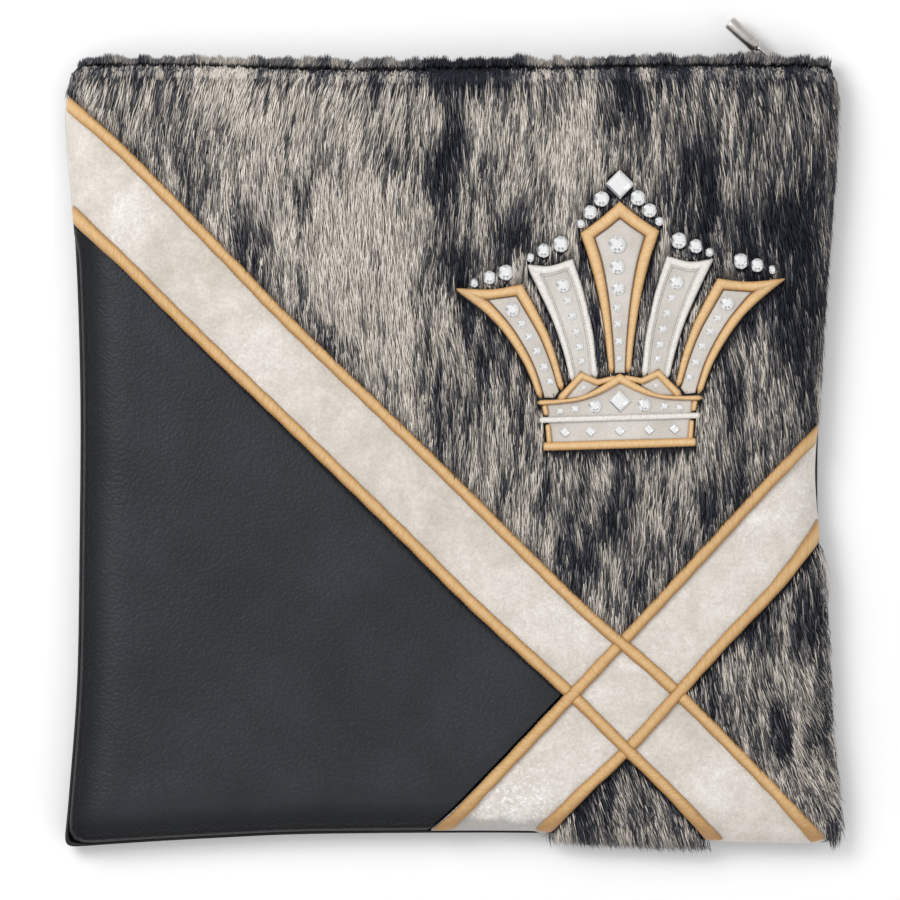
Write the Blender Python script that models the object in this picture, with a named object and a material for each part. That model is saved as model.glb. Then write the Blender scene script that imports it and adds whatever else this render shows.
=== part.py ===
"""Tallit bag: a flat, lightly filled square bag with a fur front, a leather corner, two crossed pale bands
with padded gold edging, a crown of cloth, satin stitch and clear stones, and a zip along its top edge.

It lies on its back. +Z points out of its front, +X to its right and +Y to its top, where the zip is. The
origin is the middle of the face that it rests on. Sizes below are in millimetres. Meshes are in metres."""

import math

import bmesh
import bpy
import numpy as np
from mathutils import Vector
from mathutils.geometry import delaunay_2d_cdt

MM = 0.001
GAP = 0.3  # between pieces that touch on the real bag
CURVE_GAP = 0.8  # more gap under the stitching where the front curves down

# Outline of the bag seen from the front.
LEFT_EDGE = (  # y, x
    (-184, -180.0),
    (-158, -177.5),
    (-106, -173.8),
    (-40, -172.7),
    (20, -172.3),
    (75, -173.6),
    (118, -176.0),
    (157, -178.8),
    (182, -174.5),
)
RIGHT_EDGE = (  # y, x
    (-184, 178.5),
    (-160, 178.3),
    (-122, 174.5),
    (-60, 172.6),
    (-13, 171.2),
    (47, 173.0),
    (100, 176.7),
    (145, 179.8),
    (182, 178.5),
)
BOTTOM_EDGE = (  # x, y
    (-182, -184.5),
    (-150, -182.3),
    (-110, -180.0),
    (-60, -178.0),
    (40, -177.6),
    (100, -180.0),
    (150, -181.8),
    (182, -182.0),
)
TOP_EDGE = (  # x, y
    (-182, 180.6),
    (-110, 180.2),
    (-52, 178.4),
    (30, 179.0),
    (100, 180.0),
    (182, 180.6),
)

# Side view.
SEAM_HEIGHT = 10.0  # where the front meets the back at the sides and the bottom
FRONT_HEIGHT = 22.5  # underside of the front panels, at the end of their rounded edge
FRONT_SWELL = 1.4  # more in the middle
BACK_WALL = 1.5
BACK_ROUND = 11.0  # width of the back's rounded edge
BACK_PROUD = 1.0  # how far the back shows outside the front
FRONT_WALL = 1.6
BAND_WALL = 1.8
SIDE_ROUND = 22.0  # width of the front's rounded edge
HEAD_ROUND = 13.0  # the same at the top, beside the zip
CORNER_POWER = 7.0  # a higher power makes a squarer corner

# The zip's side wall, between the back and the front.
ZIP_LOW = 3.8
ZIP_HIGH = 19.0
ZIP_TAPER = 30.0  # length over which it narrows at each end
ZIP_END = 3.0  # from the bag's side to the zip's end
ZIP_REACH = 70.0  # from the top edge to where the front has its own height again

# Fur: a hide with staggered locks, whose tips point down the bag.
HIDE = 1.2
LOCK_HEIGHT = 3.4
LOCK_STEP = 0.7  # hide-side height just below a lock's tip
LOCK_WIDTH = 12.0
LOCK_LENGTH = 22.0
LOCK_FALL = 2.8  # length of the steep face under a lock's tip
LOCK_STRAY_X = 2.2  # how far locks stray from their even rows
LOCK_STRAY_Y = 3.0
LOCK_STRAY_HEIGHT = 0.4
RIM_FUR = 1.5  # height of the fur beside the outline, where every second point is 1 higher

# Edging: centre lines of the four rows of gold stitching, as x, y points from their first end to their last.
EDGING_WIDTH = 5.7
EDGING_HEIGHT = 2.4
ROW_END = 0.95  # how near the front's outline a row ends
END_SINK = 0.55  # share of its height that a row would lose at the outline
LONG_UPPER = (
    (-178, 164),
    (-147.4, 134.9),
    (-104.6, 91.1),
    (-73.5, 58.9),
    (-8, -4.4),
    (59.5, -71.0),
    (98.6, -105.2),
    (139.5, -145.7),
    (174, -182),
)
LONG_LOWER = (
    (-177.5, 115.5),
    (-167.4, 104.4),
    (-156.0, 92.9),
    (-119.5, 56.3),
    (-71.1, 9.8),
    (-23.2, -36.9),
    (11.6, -71.4),
    (56.3, -112.6),
    (79.0, -135.1),
    (104.2, -159.7),
    (128, -183.2),
)
SHORT_UPPER = (
    (174.5, 15),
    (161.6, 0.9),
    (140.8, -22.3),
    (98.1, -68.8),
    (45.8, -124.6),
    (19.3, -152.5),
    (0.2, -171.1),
    (-14, -181.4),
)
SHORT_LOWER = (
    (172.5, -30.5),
    (166.6, -41.4),
    (153.8, -59.5),
    (145.9, -68.8),
    (124.2, -91.6),
    (85.6, -134.9),
    (59.8, -159.5),
    (47.4, -171.1),
    (37.2, -180),
)

# Crown: its base's middle on the front, and the slope of its right side above its left one.
CROWN_X = 78.9
CROWN_Y = 9.0
CROWN_SLOPE = 0.03
STITCH_HEIGHT = 2.6
CLOTH_HEIGHT = 1.0
CROWN_SEAT = HIDE + GAP  # height of the crown's underside above the front's underside
# Outside of each point's stitching, away from the crown's middle line, and the stitching's width there.
FAR_POINT = (  # away, up, width
    (37.9, 17.2, 2.8),
    (43.8, 31.7, 3.6),
    (52.8, 46.4, 4.3),
    (62.6, 57.5, 4.9),
    (78.0, 69.8, 5.0),
    (60.0, 68.5, 4.6),
    (45.3, 70.6, 5.0),
    (38.8, 58.9, 4.8),
    (33.0, 46.8, 4.1),
    (28.7, 34.1, 3.5),
    (26.1, 22.5, 2.8),
)
NEAR_POINT = (
    (23.7, 26.6, 2.6),
    (26.4, 38.4, 3.1),
    (31.2, 52.6, 3.5),
    (37.4, 66.3, 4.3),
    (43.9, 79.7, 4.5),
    (32.6, 78.6, 4.2),
    (21.7, 81.8, 4.0),
    (17.3, 68.4, 3.4),
    (13.8, 54.7, 3.3),
    (11.3, 40.9, 3.3),
    (10.0, 27.6, 3.4),
)
MIDDLE_POINT = (
    (5.3, 29.0, 2.7),
    (6.8, 42.7, 3.4),
    (9.4, 59.9, 4.3),
    (13.2, 76.8, 5.2),
    (18.5, 93.3, 5.6),
    (8.9, 100.1, 5.7),
    (0.0, 107.7, 5.9),
)
POINTS = {"far": FAR_POINT, "near": NEAR_POINT, "middle": MIDDLE_POINT}
# The cloth's own lowest point between the two ends of a point's stitching.
CLOTH_FOOT = {"far": (30.8, 18.0), "near": (18.3, 30.4), "middle": (0.0, 29.4)}
POINT_STONES = {  # away, up, radius
    "far": (
        (49.9, 58.5, 3.2),
        (45.6, 51.8, 2.0),
        (42.1, 45.8, 2.0),
        (38.4, 39.0, 2.0),
        (35.2, 31.6, 2.0),
        (32.4, 24.8, 1.7),
    ),
    "near": (
        (26.4, 69.0, 3.3),
        (24.2, 61.8, 2.0),
        (22.1, 54.8, 2.0),
        (20.1, 47.4, 2.0),
        (18.7, 40.3, 1.9),
        (17.6, 33.8, 1.6),
    ),
    "middle": (
        (-1.2, 87.3, 4.1),
        (-1.1, 77.0, 3.5),
        (-0.7, 66.8, 3.1),
        (-1.1, 58.0, 2.0),
        (-1.0, 50.5, 1.9),
        (-0.4, 42.4, 1.9),
        (-0.4, 34.4, 1.5),
    ),
}
# Stones on the fur, above the points, in two groups that aren't quite mirror images.
FUR_STONES_LEFT = (  # away, up, radius
    (67.7, 71.6, 2.1),
    (60.6, 73.9, 3.2),
    (53.0, 76.0, 3.7),
    (41.6, 82.6, 2.1),
    (35.4, 85.6, 3.3),
    (27.4, 88.4, 3.8),
    (18.4, 97.6, 2.1),
    (13.9, 102.8, 3.3),
    (8.5, 108.8, 3.6),
)
FUR_STONES_RIGHT = (
    (70.9, 73.6, 2.1),
    (63.8, 75.9, 3.2),
    (56.2, 78.0, 3.7),
    *FUR_STONES_LEFT[3:],
)
CROWN_TOP_STONE = (0.0, 115.4, 6.9)
TABLE = 0.55  # a stone's table, as a share of its width
STONE_RISE = 0.65  # a stone's facets, from girdle to table, as a share of its radius
GIRDLE_RISE = 0.25
BASE_STONES = (  # away, up, radius, square
    (27.8, 10.8, 1.7, 0),
    (20.8, 11.7, 1.9, 0),
    (11.4, 12.6, 3.1, 0),
    (0.0, 14.6, 5.2, 1),
    (25.4, 0.9, 2.6, 1),
    (13.6, 0.9, 2.6, 1),
    (0.0, 0.9, 2.6, 1),
)
BASE_CLOTH = ((33.0, 13.2), (27.5, 13.7), (17.8, 14.9), (8.6, 18.0), (0.0, 22.6))  # its top edge
BASE_CLOTH_LOW = (30.8, -3.0)
SWAG = (  # away, up, width
    (38.4, 15.0, 2.6),
    (28.1, 15.3, 2.0),
    (18.0, 16.5, 2.0),
    (8.7, 20.2, 3.2),
    (0.0, 25.2, 4.2),
)
PEAK = (  # away, up, width: outside of its stitching
    (30.0, 16.6, 3.6),
    (18.3, 28.9, 3.3),
    (10.1, 25.2, 3.0),
    (1.8, 26.9, 2.4),
)
PEAK_CLOTH = ((22.4, 18.2), (17.3, 24.2), (10.9, 21.2))
PEAK_STONE = (16.8, 21.4, 1.4)
POST_HIGH = ((35.2, 14.2), (34.0, 8.7))
POST_LOW = ((33.5, 5.1), (32.7, -4.4))
POST_WIDTH = 2.5
# Right half of the line round the whole base, inside which the fur's hide is bare.
BASE_SEAT = ((0, 28.6), (8.0, 27.6), (18.3, 30.6), (31.5, 18.0), (40.2, 17.2), (39.8, -8.4), (0, -8.4))
WHITE_BAR = (37.7, 6.9, 2.8)  # half length, up, width
LOW_BAR = (36.0, -5.4, 4.1)

# Zip pull: a barrel on a wire ring, which hangs on the slider's arch.
CHAIN_Z = 9.2
SLIDER_X = 148.0
PIVOT_OUT = 4.1  # beyond the bag's top edge
PULL_LENGTH = 24.0
PULL_TURN = 138.0  # degrees from +X, as it lies
WIRE = 1.25
RING_LENGTH = 6.2
RING_CORNER = 1.1  # its corners' radius
BARREL = (  # distance from the pin line, radius
    (RING_LENGTH - 0.3, 1.0),
    (7.6, 1.2),
    (7.8, 2.3),
    (8.6, 2.3),
    (8.9, 1.9),
    (9.4, 1.9),
    (9.8, 3.3),
    (23.5, 3.3),
    (PULL_LENGTH, 2.8),
)
ZIP_LEFT = -164.0
ZIP_RIGHT = 168.0
COIL_OUT = 1.0  # how far the coil stands beyond the bag's top edge
PLATE_TOP = 2.9
PLATE_HALF = 6.0  # half of the slider plate's length
PLATE_DEEP = 4.0  # and of its width
PLATE_CORNER = 1.5
ARCH_OUTSIDE = ((3.0, -0.5), (4.4, -0.5), (4.4, 2.2), (3.1, 3.4))  # right half, from the plate's face
ARCH_INSIDE = ((-3.0, 2.0), (-2.5, 2.4), (2.5, 2.4), (3.0, 2.0))
BACK_LEVELS = (0.3, 0.58, 0.79, 0.93, 1.0)
BACK_POINTS = {"per_side": 14, "per_corner": 3}


# Sheets of points. x and y are arrays, in millimetres.


def smooth_table(table):
    """A Catmull-Rom curve through a table's rows, with five steps between each two."""
    rows = np.array(table, float)
    ends = np.vstack((2 * rows[0] - rows[1], rows, 2 * rows[-1] - rows[-2]))
    t = np.linspace(0, 1, 6)[:-1, None]
    spans = []
    for p0, p1, p2, p3 in zip(ends, ends[1:], ends[2:], ends[3:]):
        square = 2 * p0 - 5 * p1 + 4 * p2 - p3
        cube = 3 * p1 - p0 - 3 * p2 + p3
        spans.append((2 * p1 + (p2 - p0) * t + square * t**2 + cube * t**3) / 2)
    return np.vstack(spans + [rows[-1:]])


def edge_reader(table):
    """A function that reads an edge's place from a smoothed table."""
    rows = smooth_table(table)
    return lambda along: np.interp(along, rows[:, 0], rows[:, 1])


left_edge = edge_reader(LEFT_EDGE)
right_edge = edge_reader(RIGHT_EDGE)
bottom_edge = edge_reader(BOTTOM_EDGE)
top_edge = edge_reader(TOP_EDGE)


def smooth_step(t):
    """0 below 0, 1 above 1 and an even rise between."""
    t = np.clip(t, 0, 1)
    return t * t * (3 - 2 * t)


def zip_opening(x, y):
    """How far the zip's side wall stands open: 1 along most of the top edge, 0 at its ends and away from it."""
    from_side = np.minimum(x - left_edge(y), right_edge(y) - x)
    from_top = top_edge(x) - y
    return smooth_step((from_side - ZIP_END) / ZIP_TAPER) * smooth_step(1 - from_top / ZIP_REACH)


def rim(x, y, margin, side_round, head_round, power):
    """0 on the flat middle and 1 along the outline drawn in by margin, with round-cornered level lines between."""
    side = np.minimum(x - left_edge(y), right_edge(y) - x) - margin
    foot = y - bottom_edge(x) - margin
    head = top_edge(x) - y - margin
    a = np.clip(1 - side / side_round, 0, None)
    b = np.maximum(np.clip(1 - foot / side_round, 0, None), np.clip(1 - head / head_round, 0, None))
    return (a**power + b**power) ** (1 / power)


def spread(count):
    """Shares from 0 to 1, closer together near the two ends."""
    t = np.linspace(0, 1, count)
    return 0.3 * t + 0.35 * (1 - np.cos(math.pi * t))


def outline(level, margin, side_round, head_round, power, per_side=20, per_corner=4):
    """The closed line where rim() has a level, from the bottom's left end round to the right."""
    turns = np.radians(np.linspace(0, 90, per_corner + 1))
    loop = []
    corners = ((-1, -1), (1, -1), (1, 1), (-1, 1))
    for number, (sx, sy) in enumerate(corners):
        order = turns if number % 2 == 0 else turns[::-1]
        a = level * np.cos(order) ** (2 / power)
        b = level * np.sin(order) ** (2 / power)
        in_x = margin + side_round * (1 - a)
        in_y = margin + (head_round if sy > 0 else side_round) * (1 - b)
        x = np.full(len(order), sx * 170.0)
        y = np.full(len(order), sy * 170.0)
        for _ in range(8):
            x = left_edge(y) + in_x if sx < 0 else right_edge(y) - in_x
            y = bottom_edge(x) + in_y if sy < 0 else top_edge(x) - in_y
        loop.append(np.stack((x, y), 1))
    sides = []
    for number in range(4):
        start = loop[number][-1]
        stop = loop[(number + 1) % 4][0]
        t = spread(per_side + 1)[1:-1]
        x = start[0] + (stop[0] - start[0]) * t
        y = start[1] + (stop[1] - start[1]) * t
        flat_in = margin + side_round * (1 - level)
        if number == 0:
            y = bottom_edge(x) + flat_in
        elif number == 1:
            x = right_edge(y) - flat_in
        elif number == 2:
            y = top_edge(x) - margin - head_round * (1 - level)
        else:
            x = left_edge(y) + flat_in
        sides += [loop[number], np.stack((x, y), 1)]
    return np.vstack(sides)


FRONT_MARGIN = BACK_PROUD + FRONT_WALL
FRONT_RIM = (FRONT_MARGIN, SIDE_ROUND, HEAD_ROUND, CORNER_POWER)
BACK_RIM = (0.0, BACK_ROUND, BACK_ROUND, 5.0)


def front_points(plan, offset):
    """Places plan points on the front, lifted by offset along its normal."""
    x, y = plan[:, 0], plan[:, 1]
    seam = SEAM_HEIGHT + GAP + (ZIP_HIGH - SEAM_HEIGHT) * zip_opening(x, y)
    level = np.clip(rim(x, y, *FRONT_RIM), 0, 1)
    rise = np.sqrt(1 - level**2)
    swell = FRONT_SWELL * (1 - (x / 180) ** 2) * (1 - (y / 184) ** 2)
    z = seam + (FRONT_HEIGHT - seam) * rise + swell * rise
    step = 0.5
    slope_x = rim(x + step, y, *FRONT_RIM) - rim(x - step, y, *FRONT_RIM)
    slope_y = rim(x, y + step, *FRONT_RIM) - rim(x, y - step, *FRONT_RIM)
    depth = FRONT_HEIGHT - SEAM_HEIGHT
    steep = level / (2 * step)
    normal = np.stack((steep * slope_x, steep * slope_y, np.maximum(rise, 0.02) / depth), 1)
    normal /= np.linalg.norm(normal, axis=1)[:, None]
    return np.stack((x, y, z), 1) + normal * np.reshape(offset, (-1, 1))


# Making objects.


def material(name, colour, roughness, metallic=0.0):
    """A plain finish. colour is sRGB, from 0 to 255."""
    made = bpy.data.materials.new(name)
    made.use_nodes = True
    surface = made.node_tree.nodes["Principled BSDF"]
    linear = [((c / 255 + 0.055) / 1.055) ** 2.4 for c in colour]
    surface.inputs["Base Color"].default_value = (*linear, 1)
    surface.inputs["Roughness"].default_value = roughness
    surface.inputs["Metallic"].default_value = metallic
    made.diffuse_color = (*linear, 1)
    return made


def add_object(name, mesh, finish, centre=(0, 0, 0)):
    """Gives a bmesh in millimetres an object of its own, with its faces pointing out."""
    bmesh.ops.recalc_face_normals(mesh, faces=mesh.faces)
    bmesh.ops.scale(mesh, vec=(MM, MM, MM), verts=mesh.verts)
    data = bpy.data.meshes.new(name)
    mesh.to_mesh(data)
    mesh.free()
    data.materials.append(finish)
    made = bpy.data.objects.new(name, data)
    made.location = Vector(centre) * MM
    bpy.context.collection.objects.link(made)
    return made


def mesh_from(points, faces):
    """A bmesh from point and face lists."""
    mesh = bmesh.new()
    verts = [mesh.verts.new(p) for p in points]
    for face in faces:
        mesh.faces.new([verts[i] for i in face])
    return mesh


def grid_solid(rows):
    """A closed tube from rows of ring points, with flat ends: rows, ring points, xyz."""
    count, ring = rows.shape[:2]
    faces = []
    for i in range(count - 1):
        for j in range(ring):
            k = (j + 1) % ring
            faces.append((i * ring + j, i * ring + k, (i + 1) * ring + k, (i + 1) * ring + j))
    faces.append(tuple(range(ring)))
    faces.append(tuple((count - 1) * ring + j for j in range(ring)))
    return mesh_from(rows.reshape(-1, 3), faces)


def join_to(target, tools):
    """Unites tools with target. The tools are guides and aren't pieces of the bag."""
    for tool in tools:
        tool.hide_render = True
        tool.display_type = "WIRE"
        union = target.modifiers.new("join_" + tool.name, "BOOLEAN")
        union.operation = "UNION"
        union.solver = "EXACT"
        union.object = tool
    return target


# Section of a padded row of stitching: shares of its width and of its height.
SECTION = ((0.0, 0.0), (0.1, 0.62), (0.5, 1.0), (0.9, 0.62), (1.0, 0.0))


def stitched_row(first, second, base, height):
    """A padded row of satin stitching on the front, between two lines of plan points. It lies a little higher
    and gets flatter where the front curves down."""
    level = rim(*((first + second) / 2).T, *FRONT_RIM)
    rings = []
    for across, up in SECTION:
        plan = first + (second - first) * across
        lift = base + CURVE_GAP * level + height * up * (1 - END_SINK * level**6)
        rings.append(front_points(plan, lift))
    return grid_solid(np.stack(rings, 1))


def drawn_in(line, width):
    """A line's points moved to its left by width, mitred at its corners."""
    step = np.diff(line, axis=0)
    step /= np.linalg.norm(step, axis=1)[:, None]
    normal = np.stack((-step[:, 1], step[:, 0]), 1)
    before = np.vstack((normal[:1], normal))
    after = np.vstack((normal, normal[-1:]))
    mitre = (before + after) / (1 + np.sum(before * after, axis=1))[:, None]
    return line + mitre * np.reshape(width, (-1, 1))


def inside(loop, points):
    """Which points lie inside a closed loop."""
    x, y = points[:, 0], points[:, 1]
    x0, y0 = loop[:, 0][:, None], loop[:, 1][:, None]
    x1, y1 = np.roll(loop[:, 0], -1)[:, None], np.roll(loop[:, 1], -1)[:, None]
    crosses = ((y0 > y) != (y1 > y)) & (x < x0 + (y - y0) * (x1 - x0) / np.where(y1 == y0, 1, y1 - y0))
    return crosses.sum(0) % 2 == 1


def triangulate(loops, lines, loose):
    """Triangles through closed loops, open lines and loose points, each an array of x, y and height rows. Returns
    plan points, heights and triangles. A crossing of two lines takes the height of the nearest row."""
    rows = [*loops, *lines, loose]
    edges = []
    start = 0
    for number, row in enumerate(rows[:-1]):
        count = len(row)
        edges += [(start + i, start + i + 1) for i in range(count - 1)]
        if number < len(loops):
            edges.append((start + count - 1, start))
        start += count
    every = np.vstack(rows)
    flat = [Vector(p) for p in every[:, :2]]
    verts, _, faces, origin, _, _ = delaunay_2d_cdt(flat, edges, [], 0, 1e-4, True)
    plan = np.array([v[:] for v in verts])
    height = np.empty(len(plan))
    for i, ids in enumerate(origin):
        nearest = ids[0] if ids else np.argmin(np.sum((every[:, :2] - plan[i]) ** 2, axis=1))
        height[i] = every[nearest, 2]
    return plan, height, np.array([tuple(f) for f in faces])


def sheet(top, bottom):
    """A closed sheet from a top and a bottom, each a list of 3-D points, plan points and triangles. The two share
    their plan border."""
    points, faces = [], []
    border = {}
    for side, (places, plan, triangles) in enumerate((top, bottom)):
        used = np.unique(triangles)
        new = {old: len(points) + i for i, old in enumerate(used)}
        points += [places[i] for i in used]
        faces += [tuple(new[i] for i in (t if side == 0 else t[::-1])) for t in triangles]
        edges = {(t[i], t[(i + 1) % 3]) for t in triangles for i in range(3)}
        for a, b in edges:
            if (b, a) not in edges:
                key = tuple(np.round(plan[a], 2)), tuple(np.round(plan[b], 2))
                border.setdefault(key, {})[side] = (new[a], new[b])
    for sides in border.values():
        a, b = sides[0]
        c, d = sides[1]
        faces.append((b, a, c, d))
    return mesh_from(points, faces)


# The front's panels.


def thinned(plan, longest=17.0, most_drop=1.5):
    """Numbers of some of a line's points. Each is at most so far from the last, along the line or in height, and
    half as far where the line leaves the flat middle."""
    places = front_points(plan, np.zeros(len(plan)))
    kept = [0]
    for i in range(1, len(plan) - 1):
        ahead = places[i + 1] - places[kept[-1]]
        length, drop = np.linalg.norm(ahead[:2]), abs(ahead[2])
        if length > longest or drop > most_drop or (drop > most_drop / 4 and length > longest / 2):
            kept.append(i)
    return kept + [len(plan) - 1]


def turned_back(along, across, sign):
    """Plan points from a place along a row of edging and a place across it."""
    return np.stack(((along + across) / math.sqrt(2), sign * (across - along) / math.sqrt(2)), 1)


def run(table, sign):
    """A row of edging as a line of straight chords: the way along it, x - sign*y, and its place across that,
    x + sign*y, both over root 2."""
    rows = smooth_table(table)
    along = (rows[:, 0] - sign * rows[:, 1]) / math.sqrt(2)
    across = (rows[:, 0] + sign * rows[:, 1]) / math.sqrt(2)
    order = np.argsort(along)
    fine = np.arange(along.min(), along.max(), 1.0)
    smooth = np.interp(fine, along[order], across[order])
    kept = thinned(turned_back(fine, smooth, sign))
    return fine[kept], smooth[kept]


RUNS = {
    "long_upper": (run(LONG_UPPER, 1), 1),
    "long_lower": (run(LONG_LOWER, 1), 1),
    "short_upper": (run(SHORT_UPPER, -1), -1),
    "short_lower": (run(SHORT_LOWER, -1), -1),
}


def beyond(name, plan):
    """How far plan points lie across a row of edging. It grows to the upper right of a long row and to the lower
    right of a short one."""
    (along, across), sign = RUNS[name]
    here = (plan[:, 0] - sign * plan[:, 1]) / math.sqrt(2)
    return (plan[:, 0] + sign * plan[:, 1]) / math.sqrt(2) - np.interp(here, along, across)


def row_line(name, shift=0.0, low=-400.0, high=400.0):
    """The line of a row of edging moved across by shift, from one place along it to another."""
    (along, across), sign = RUNS[name]
    ends = (max(along[0], low), min(along[-1], high))
    here = np.concatenate((ends[:1], along[(along > ends[0]) & (along < ends[1])], ends[1:]))
    return turned_back(here, np.interp(here, along, across) + shift, sign)


BAND_EDGE = EDGING_WIDTH / 2 + 0.1  # from a row's centre line to the band's edge
PANEL_EDGE = BAND_EDGE + GAP


def crossing(first, second):
    """Where two rows of edging cross."""
    plan = np.zeros((1, 2))
    for name in (first, second) * 20:
        plan = plan - beyond(name, plan)[0] * np.array((1, RUNS[name][1])) / math.sqrt(2)
    return plan[0]


def along_row(name, place):
    """The way along a row of edging to a plan point."""
    sign = RUNS[name][1]
    return (place[0] - sign * place[1]) / math.sqrt(2)


def panel_of(plan):
    """The front panel that plan points lie on, by number, or -1 in a gap or outside."""
    above_long = beyond("long_upper", plan)
    below_long = -beyond("long_lower", plan)
    above_short = -beyond("short_upper", plan)
    below_short = beyond("short_lower", plan)
    number = np.full(len(plan), -1)
    on_long = (above_long < BAND_EDGE) & (below_long < BAND_EDGE)
    upper = above_long > PANEL_EDGE
    lower = below_long > PANEL_EDGE
    on_short = (above_short < BAND_EDGE) & (below_short < BAND_EDGE)
    number[on_long] = 0
    number[upper & on_short] = 1
    number[lower & on_short] = 2
    number[upper & (above_short > PANEL_EDGE)] = 3
    number[upper & (below_short > PANEL_EDGE)] = 4
    number[lower & (below_short > PANEL_EDGE)] = 5
    number[lower & (above_short > PANEL_EDGE)] = 6
    return number


TOP_LEVELS = (0.975, 0.9, 0.75, 0.45)  # level lines of rim() that the panels' top faces follow
UNDER_LEVELS = (0.85, 0.5)  # and their undersides
MIDDLE_GRID = np.arange(-150, 151, 30.0)
PANELS = (  # node, finish, wall
    ("band_long", "band suede", BAND_WALL),
    ("band_short_upper", "band suede", BAND_WALL),
    ("band_short_lower", "band suede", BAND_WALL),
    ("fur_panel_main", "grey fur", HIDE),
    ("fur_panel_right", "grey fur", HIDE),
    ("fur_panel_bottom", "grey fur", HIDE),
    ("leather_panel", "pebbled leather", FRONT_WALL),
)


def crown_place(away, up):
    """Plan place of a point of the crown, from its base's middle."""
    away, up = np.broadcast_arrays(np.asarray(away, float), np.asarray(up, float))
    return np.stack((CROWN_X + away, CROWN_Y + up + CROWN_SLOPE * away), -1)


def point_lines(kind, side):
    """Outer and inner line of a crown point's stitching. side is -1 for the left, 1 for the right and 0 for the
    middle."""
    rows = np.array(POINTS[kind], float)
    if kind == "middle":
        mirrored = rows[-2::-1] * (-1, 1, 1)
        rows = np.vstack((rows, mirrored))
    line = rows[:, :2]
    inner = drawn_in(line, rows[:, 2])
    if side < 0:
        line = line * (-1, 1)
        inner = inner * (-1, 1)
    return crown_place(*line.T), crown_place(*inner.T)


def round_stone(radius, sides=8):
    """Plan ring of a round stone."""
    turn = np.radians(22.5) + np.arange(sides) * 2 * math.pi / sides
    return radius * np.stack((np.cos(turn), np.sin(turn)), 1)


def square_stone(radius):
    """Plan ring of a square stone that stands on one corner, with its corners cut a little."""
    turn = np.radians([-7, 7, 83, 97, 173, 187, 263, 277])
    return radius * np.stack((np.cos(turn), np.sin(turn)), 1)


def stone_places():
    """Every stone on the fur: its plan place, radius and whether it is square."""
    away, up, radius = CROWN_TOP_STONE
    places = [(crown_place(away, up), radius, True)]
    for side, group in ((-1, FUR_STONES_LEFT), (1, FUR_STONES_RIGHT)):
        for away, up, radius in group:
            places.append((crown_place(side * away, up), radius, False))
    return places


CROWN_POINTS = (
    ("far_left", "far", -1),
    ("near_left", "near", -1),
    ("middle", "middle", 0),
    ("near_right", "near", 1),
    ("far_right", "far", 1),
)


def crown_seats():
    """Closed plan lines round all that sits on the fur, inside which its hide is bare."""
    seats = []
    for _, kind, side in CROWN_POINTS:
        outer, inner = point_lines(kind, side)
        grown = drawn_in(outer, 0.8 if side < 0 else -0.8)
        away, up = CLOTH_FOOT[kind]
        seats.append(np.vstack((grown, crown_place(side * away, up - 1.0))))
    half = np.array(BASE_SEAT)
    ring = np.vstack((half[:-1], half[:0:-1] * (-1, 1)))
    seats.append(crown_place(*ring.T))
    for place, radius, _ in stone_places():
        seats.append(place + round_stone((radius + 0.5) / math.cos(math.pi / 6), 6))
    return seats


def lock_points(seats):
    """Plan points and heights of the fur's staggered locks, clear of the seats and of the panels' edges."""
    rows = []
    for column, x in enumerate(np.arange(-174, 178, LOCK_WIDTH)):
        first = -186 + (column % 2) * LOCK_LENGTH / 2
        for number, y in enumerate(np.arange(first, 182, LOCK_LENGTH)):
            stray = math.sin(12.9 * column + 78.2 * number)
            tip_x = x + LOCK_STRAY_X * stray
            tip_y = y + LOCK_STRAY_Y * math.cos(5.1 * column + 3.7 * number)
            rows.append((tip_x, tip_y, LOCK_HEIGHT + LOCK_STRAY_HEIGHT * stray))
            rows.append((tip_x, tip_y - LOCK_FALL, LOCK_STEP))
    points = np.array(rows)
    plan = points[:, :2]
    clear = (rim(*plan.T, *FRONT_RIM) < 0.93) & (panel_of(plan) >= 3) & (panel_of(plan) <= 5)
    for name in RUNS:
        clear &= np.abs(beyond(name, plan)) > PANEL_EDGE + 2.0
    for seat in seats:
        grown = seat + 2.0 * (seat - seat.mean(0)) / np.linalg.norm(seat - seat.mean(0), axis=1)[:, None]
        clear &= ~inside(grown, plan)
    return points[clear]


def with_height(plan, height):
    """Plan points as rows of x, y and height."""
    return np.column_stack((plan, np.broadcast_to(height, len(plan))))


def cut_lines():
    """The edges between the panels, in two lines each with the gap between them."""
    short = ("short_upper", "short_lower")
    over_upper = {name: along_row(name, crossing(name, "long_upper")) for name in short}
    over_lower = {name: along_row(name, crossing(name, "long_lower")) for name in short}
    end = BAND_EDGE - 0.5  # a short band's edges run this near the long band's outer rows
    lines = []
    for name, side in (("long_upper", 1), ("long_lower", -1), ("short_upper", -1), ("short_lower", 1)):
        stretches = [(-400.0, 400.0)]
        if name in short:
            stretches = [(-400.0, over_lower[name] - end), (over_upper[name] + end, 400.0)]
        for low, high in stretches:
            lines += [row_line(name, side * shift, low, high) for shift in (BAND_EDGE, PANEL_EDGE)]
    return lines


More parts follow.
